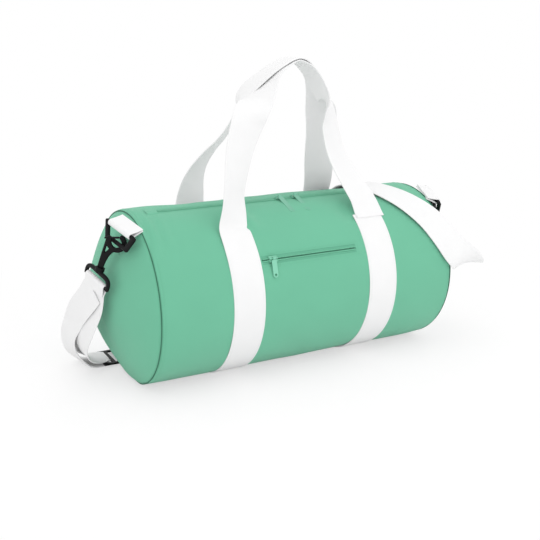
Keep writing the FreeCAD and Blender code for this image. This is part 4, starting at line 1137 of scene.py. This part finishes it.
def ring_chains(at_bar, at_low):
    """The ring's straight bar in the tab, its two tapered legs and its low bar."""
    chains = [([at_bar(-RING_HALF_BAR, 0), at_bar(RING_HALF_BAR, 0)], (2.5, 2.5, 2.5))]
    for k in (1, -1):
        leg = [at_bar(k * (RING_HALF_BAR + 1.2), -1.2), at_low(k * (RING_HALF_LOW - 0.6), 0)]
        chains.append((leg, [(4.6, 2.6, 2.7), (4.4, 3.4, 2.7)]))
    chains.append(([at_low(RING_HALF_LOW, 0), at_low(-RING_HALF_LOW, 0)], (2.6, 3, 2.5)))
    return chains


# %% Hooks and gates
CLAW_RADIUS, CLAW_ARC, GATE_TIP_RADIUS, GATE_TIP_ANGLE = 10.9 * MM, (176, 420), 11 * MM, 62
BOW = ((0.4, 3), (1.6, 12), (4, 21), (8, 28.5), (12, 31.1))
HOOK_BARS = (
    ((-2.6, 4), (-1.9, 41), (2.1, 1.8, 2.5)),
    ((-2.4, 2.4), (2.4, 2.4), (2.3, 2.2, 2.7)),
    ((-1.9, 39.5), (1.6, 39), (1.8, 2.4, 2.5)),
    ((0, 2), (0, -9), (2.9, 2, 2.9)),
    ((0, -8.6), (0, -9), (4.6, 1, 4.6)),
)
GATE_SHORT, GATE_TAIL, GATE_HUB = 4.8 * MM, 5.4 * MM, 0.4 * MM


def hook_chains(ends, up):
    """The hook's claw, the bow that carries it, its back, its cross bars and its swivel pin."""
    at = plane(ends["swivel"], ends["reach"], up)
    claw = arc(ends["trough"], ends["reach"], up, CLAW_RADIUS, *CLAW_ARC, 40)
    chains = [(claw, (3.5, 3.5, 2.8)), (curve([at(u, v) for u, v in BOW], 30), (4, 3, 2.8))]
    return chains + [([at(*first), at(*last)], sizes) for first, last, sizes in HOOK_BARS]


def gate_chains(pivot, tip, run, face):
    """The gate's hub on its pivot, its arm to just short of the claw's tip and its tail."""
    arm_end = pivot + run * (np.linalg.norm(tip - pivot) - GATE_SHORT)
    return [
        ([pivot - face * GATE_HUB, pivot + face * GATE_HUB], (2.8, 2.8, 2.1)),
        ([pivot, arm_end], (1.4, 1.4, 2.3)),
        ([pivot, pivot - run * GATE_TAIL], (1.4, 1.4, 2.4)),
    ]


for side, ends in HOOKS.items():
    up, across, reach = -ends["hang"], ends["bar_way"], ends["reach"]
    chains = ring_chains(plane(ends["ring_bar"], across, up), plane(ends["trough"], across, up))
    ring_axes = np.array([across, up, np.cross(across, up)])
    ring = moulding(f"{side}_ring_moulding", ring_axes, chains, voxel=0.55 * MM)
    settle(ring, black_plastic, f"{side}_d_ring", "black_plastic", f"{side}_d_ring")
    face = np.cross(reach, up)
    hook = moulding(f"{side}_hook_moulding", np.array([reach, up, face]), hook_chains(ends, up))
    settle(hook, black_plastic, f"{side}_hook", "black_plastic", f"{side}_hook")
    pivot = ends["gate_pivot"]
    tip = arc(ends["trough"], reach, up, GATE_TIP_RADIUS, GATE_TIP_ANGLE, GATE_TIP_ANGLE, 1)[0]
    run = unit(tip - pivot)
    gate_axes = np.array([run, np.cross(face, run), face])
    gate = moulding(f"{side}_gate_moulding", gate_axes, gate_chains(pivot, tip, run, face), voxel=0.45 * MM)
    settle(gate, black_plastic, f"{side}_gate", "black_plastic", f"{side}_gate")
print("rings, hooks and gates made")

# %% Swivel bases
SHOULDER = ((0, -8.6), (11, -8.6), (20, -9), (26.4, -11.4), (29.3, -16), (29.5, -22))
SHOULDER_SIZES = np.interp(np.linspace(0, 1, 40), [0, 0.4, 0.75, 1], [3.2, 3.1, 2.9, 2.6])[:, None]
COLLAR_RADIUS, COLLAR_TOP, COLLAR_FOOT = 5.1 * MM, 1.9 * MM, 5.8 * MM
for side, ends in HOOKS.items():
    up, across = -ends["hang"], ends["base_across"]
    through = np.cross(across, up)
    at = plane(ends["swivel"], across, up)
    chains = []
    for k in (-1, 1):
        chains.append((curve([at(k * u, v) for u, v in SHOULDER], 40), np.repeat(SHOULDER_SIZES, 3, axis=1)))
    chains.append(([at(-29.5, -22), at(29.5, -22)], (2.5, 2.5, 2.5)))
    for spot in arc(ends["swivel"], across, through, COLLAR_RADIUS, 0, 340, 18):
        chains.append(([spot - up * COLLAR_TOP, spot - up * COLLAR_FOOT], (1.7, 1.4, 1.7)))
    base = moulding(f"{side}_base_moulding", np.array([across, up, through]), chains)
    settle(base, black_plastic, f"{side}_swivel_base", "black_plastic", f"{side}_swivel_base")
print("swivel bases made")

# %% [markdown]
# ## Parts kept from the CAD model
# The zip sliders, their pulls and the strap slider are plain rigid shapes. They could be drawn
# again, but their CAD nodes already fit their zips and strap, so those stay. A bevel softens their
# edges, and they get their enamel and plastic.

# %% Kept nodes
ENAMELLED = [f"{name}_{kind}" for kind in ("slider", "pull") for name in ("left_zip", "right_zip", "pocket")]
BEVEL_WIDTH, BEVEL_ANGLE = 0.35 * MM, math.radians(40)
for name in ENAMELLED + ["strap_slider"]:
    thing = frame["nodes"][name]
    thing.data.materials.clear()
    thing.data.materials.append(enamel if name in ENAMELLED else black_plastic)
    soft_edge = thing.modifiers.new("soft_edge", "BEVEL")
    soft_edge.width = BEVEL_WIDTH
    soft_edge.segments = 2
    soft_edge.limit_method = "ANGLE"
    soft_edge.angle_limit = BEVEL_ANGLE
    soft_edge.harden_normals = True
print("kept nodes:", len(ENAMELLED) + 1)

# %% [markdown]
# ## Stitching
# Lock stitches hold the sewn edges: rows beside the end seams, both zips and the pocket's ends, and
# along both edges of the girth straps. A bump texture would be cheaper, but real thread catches the
# light. Geometry Nodes lays one thread bead at each step.

# %% Stitch lines
STITCH, STITCH_PITCH, THREAD_LIFT = (1.25 * MM, 0.3 * MM, 0.22 * MM), 3.6 * MM, 0.12 * MM
SEAM_ROW_X, ZIP_ROW_OFFSET, POCKET_ROW_OFFSET, WEB_ROW_OFFSET = 244.5 * MM, 8.5 * MM, 9.5 * MM, 21.5 * MM
ROW_INSET = 4 * MM
FIRST_STITCHES = {"left": math.radians(58), "right": math.radians(46)}


def canvas_line(xs, turns):
    """A line of thread on the canvas."""
    xs, turns = np.broadcast_arrays(np.asarray(xs, float), np.asarray(turns, float))
    return on_barrel(xs, turns, canvas_lift(xs, turns) + THREAD_LIFT)


ring_turns = np.radians(np.linspace(-150, 150, 240))
long_xs = np.linspace(-ZIP_HALF + ROW_INSET, ZIP_HALF - ROW_INSET, 120)
pocket_xs = np.linspace(POCKET_LEFT - ROW_INSET, POCKET_RIGHT + ROW_INSET, 60)
pocket_turns = POCKET_TURN + np.linspace(-1, 1, 8) * POCKET_ROW_OFFSET / RADIUS
canvas_rows = {
    "end_seam": [canvas_line(k * SEAM_ROW_X, ring_turns) for k in (-1, 1)],
    "zip_edge": [canvas_line(long_xs, ZIP_TURN + k * ZIP_ROW_OFFSET / RADIUS) for k in (-1, 1)],
    "pocket_edge": [canvas_line(pocket_xs, POCKET_TURN + k * POCKET_ROW_OFFSET / RADIUS) for k in (-1, 1)]
    + [canvas_line(x, pocket_turns) for x in (pocket_xs[0], pocket_xs[-1])],
}
for label, rows in canvas_rows.items():
    row = repeated(f"{label}_stitches", stitch_tree, rows, mint_thread, STITCH_PITCH, STITCH)
    settle(row, mint_thread, "bag", "body_fabric")
web_rows = []
for side, middle in GIRTH_PLACES.items():
    turns = np.linspace(FIRST_STITCHES[side], 2 * math.pi - FIRST_STITCHES[side], 220)
    web_rows += [on_barrel(middle + k * WEB_ROW_OFFSET, turns, WEB_THICK + THREAD_LIFT) for k in (-1, 1)]
row = repeated("girth_stitches", stitch_tree, web_rows, white_thread, STITCH_PITCH, STITCH)
settle(row, white_thread, "bag", "webbing")
print("stitches made")

# %% [markdown]
# ## Stage and light
# A white floor carries a soft shadow and fades to the white background. An even white world gives
# most of the light, and two large lamps, one above at the left and one from the front right, are
# weak. A strong lamp would be simpler, but the photograph has almost no hard shadow.

# %% Floor
FLOOR_HALF = 4
floor_mesh = bpy.data.meshes.new("studio_floor")
floor_corners = [(x * FLOOR_HALF, y * FLOOR_HALF, 0) for x, y in ((-1, -1), (1, -1), (1, 1), (-1, 1))]
floor_mesh.from_pydata(floor_corners, [], [(0, 1, 2, 3)])
floor = linked("studio_floor", floor_mesh)
paper = bpy.data.materials.new("studio_paper")
paper.use_nodes = True
tree = paper.node_tree
sheet = tree.nodes["Principled BSDF"]
for label, value in (("Base Color", (0.93, 0.93, 0.93, 1)), ("Roughness", 0.9), ("Specular IOR Level", 0.1)):
    sheet.inputs[label].default_value = value
glow = add(tree, "ShaderNodeEmission", {"Color": (1, 1, 1, 1)})
place = add(tree, "ShaderNodeTexCoord").outputs["Object"]
distance = add(tree, "ShaderNodeVectorMath", {0: place}, operation="LENGTH").outputs["Value"]
fade_range = {"Value": distance, "From Min": 0.28, "From Max": 0.75, "To Min": 0.55}
fade = add(tree, "ShaderNodeMapRange", fade_range, interpolation_type="SMOOTHSTEP").outputs["Result"]
camera_ray = add(tree, "ShaderNodeLightPath").outputs["Is Camera Ray"]
share = add(tree, "ShaderNodeMath", {0: fade, 1: camera_ray}, operation="MULTIPLY").outputs[0]
mix = add(tree, "ShaderNodeMixShader", {"Fac": share, 1: sheet.outputs[0], 2: glow.outputs[0]})
tree.links.new(mix.outputs[0], tree.nodes["Material Output"].inputs["Surface"])
floor_mesh.materials.append(paper)
print("floor laid")

# %% World and lamps
LAMP_SIZE = 1.6
world = bpy.data.worlds.new("studio_world")
bpy.context.scene.world = world
world.use_nodes = True
background = world.node_tree.nodes["Background"]
background.inputs["Color"].default_value = (1, 1, 1, 1)
background.inputs["Strength"].default_value = 1.0
for name, lamp_place, target, power in (
    ("top_lamp", (-0.3, -0.5, 1.9), (0, 0, 0.1), 5),
    ("front_lamp", (0.6, -1.8, 0.7), (0, 0, 0.12), 4),
):
    lamp = bpy.data.lights.new(name, "AREA")
    lamp.size = LAMP_SIZE
    lamp.energy = power
    aimed(linked(name, lamp), lamp_place, target)
bpy.context.scene.view_settings.view_transform = "Standard"
print("stage lit")
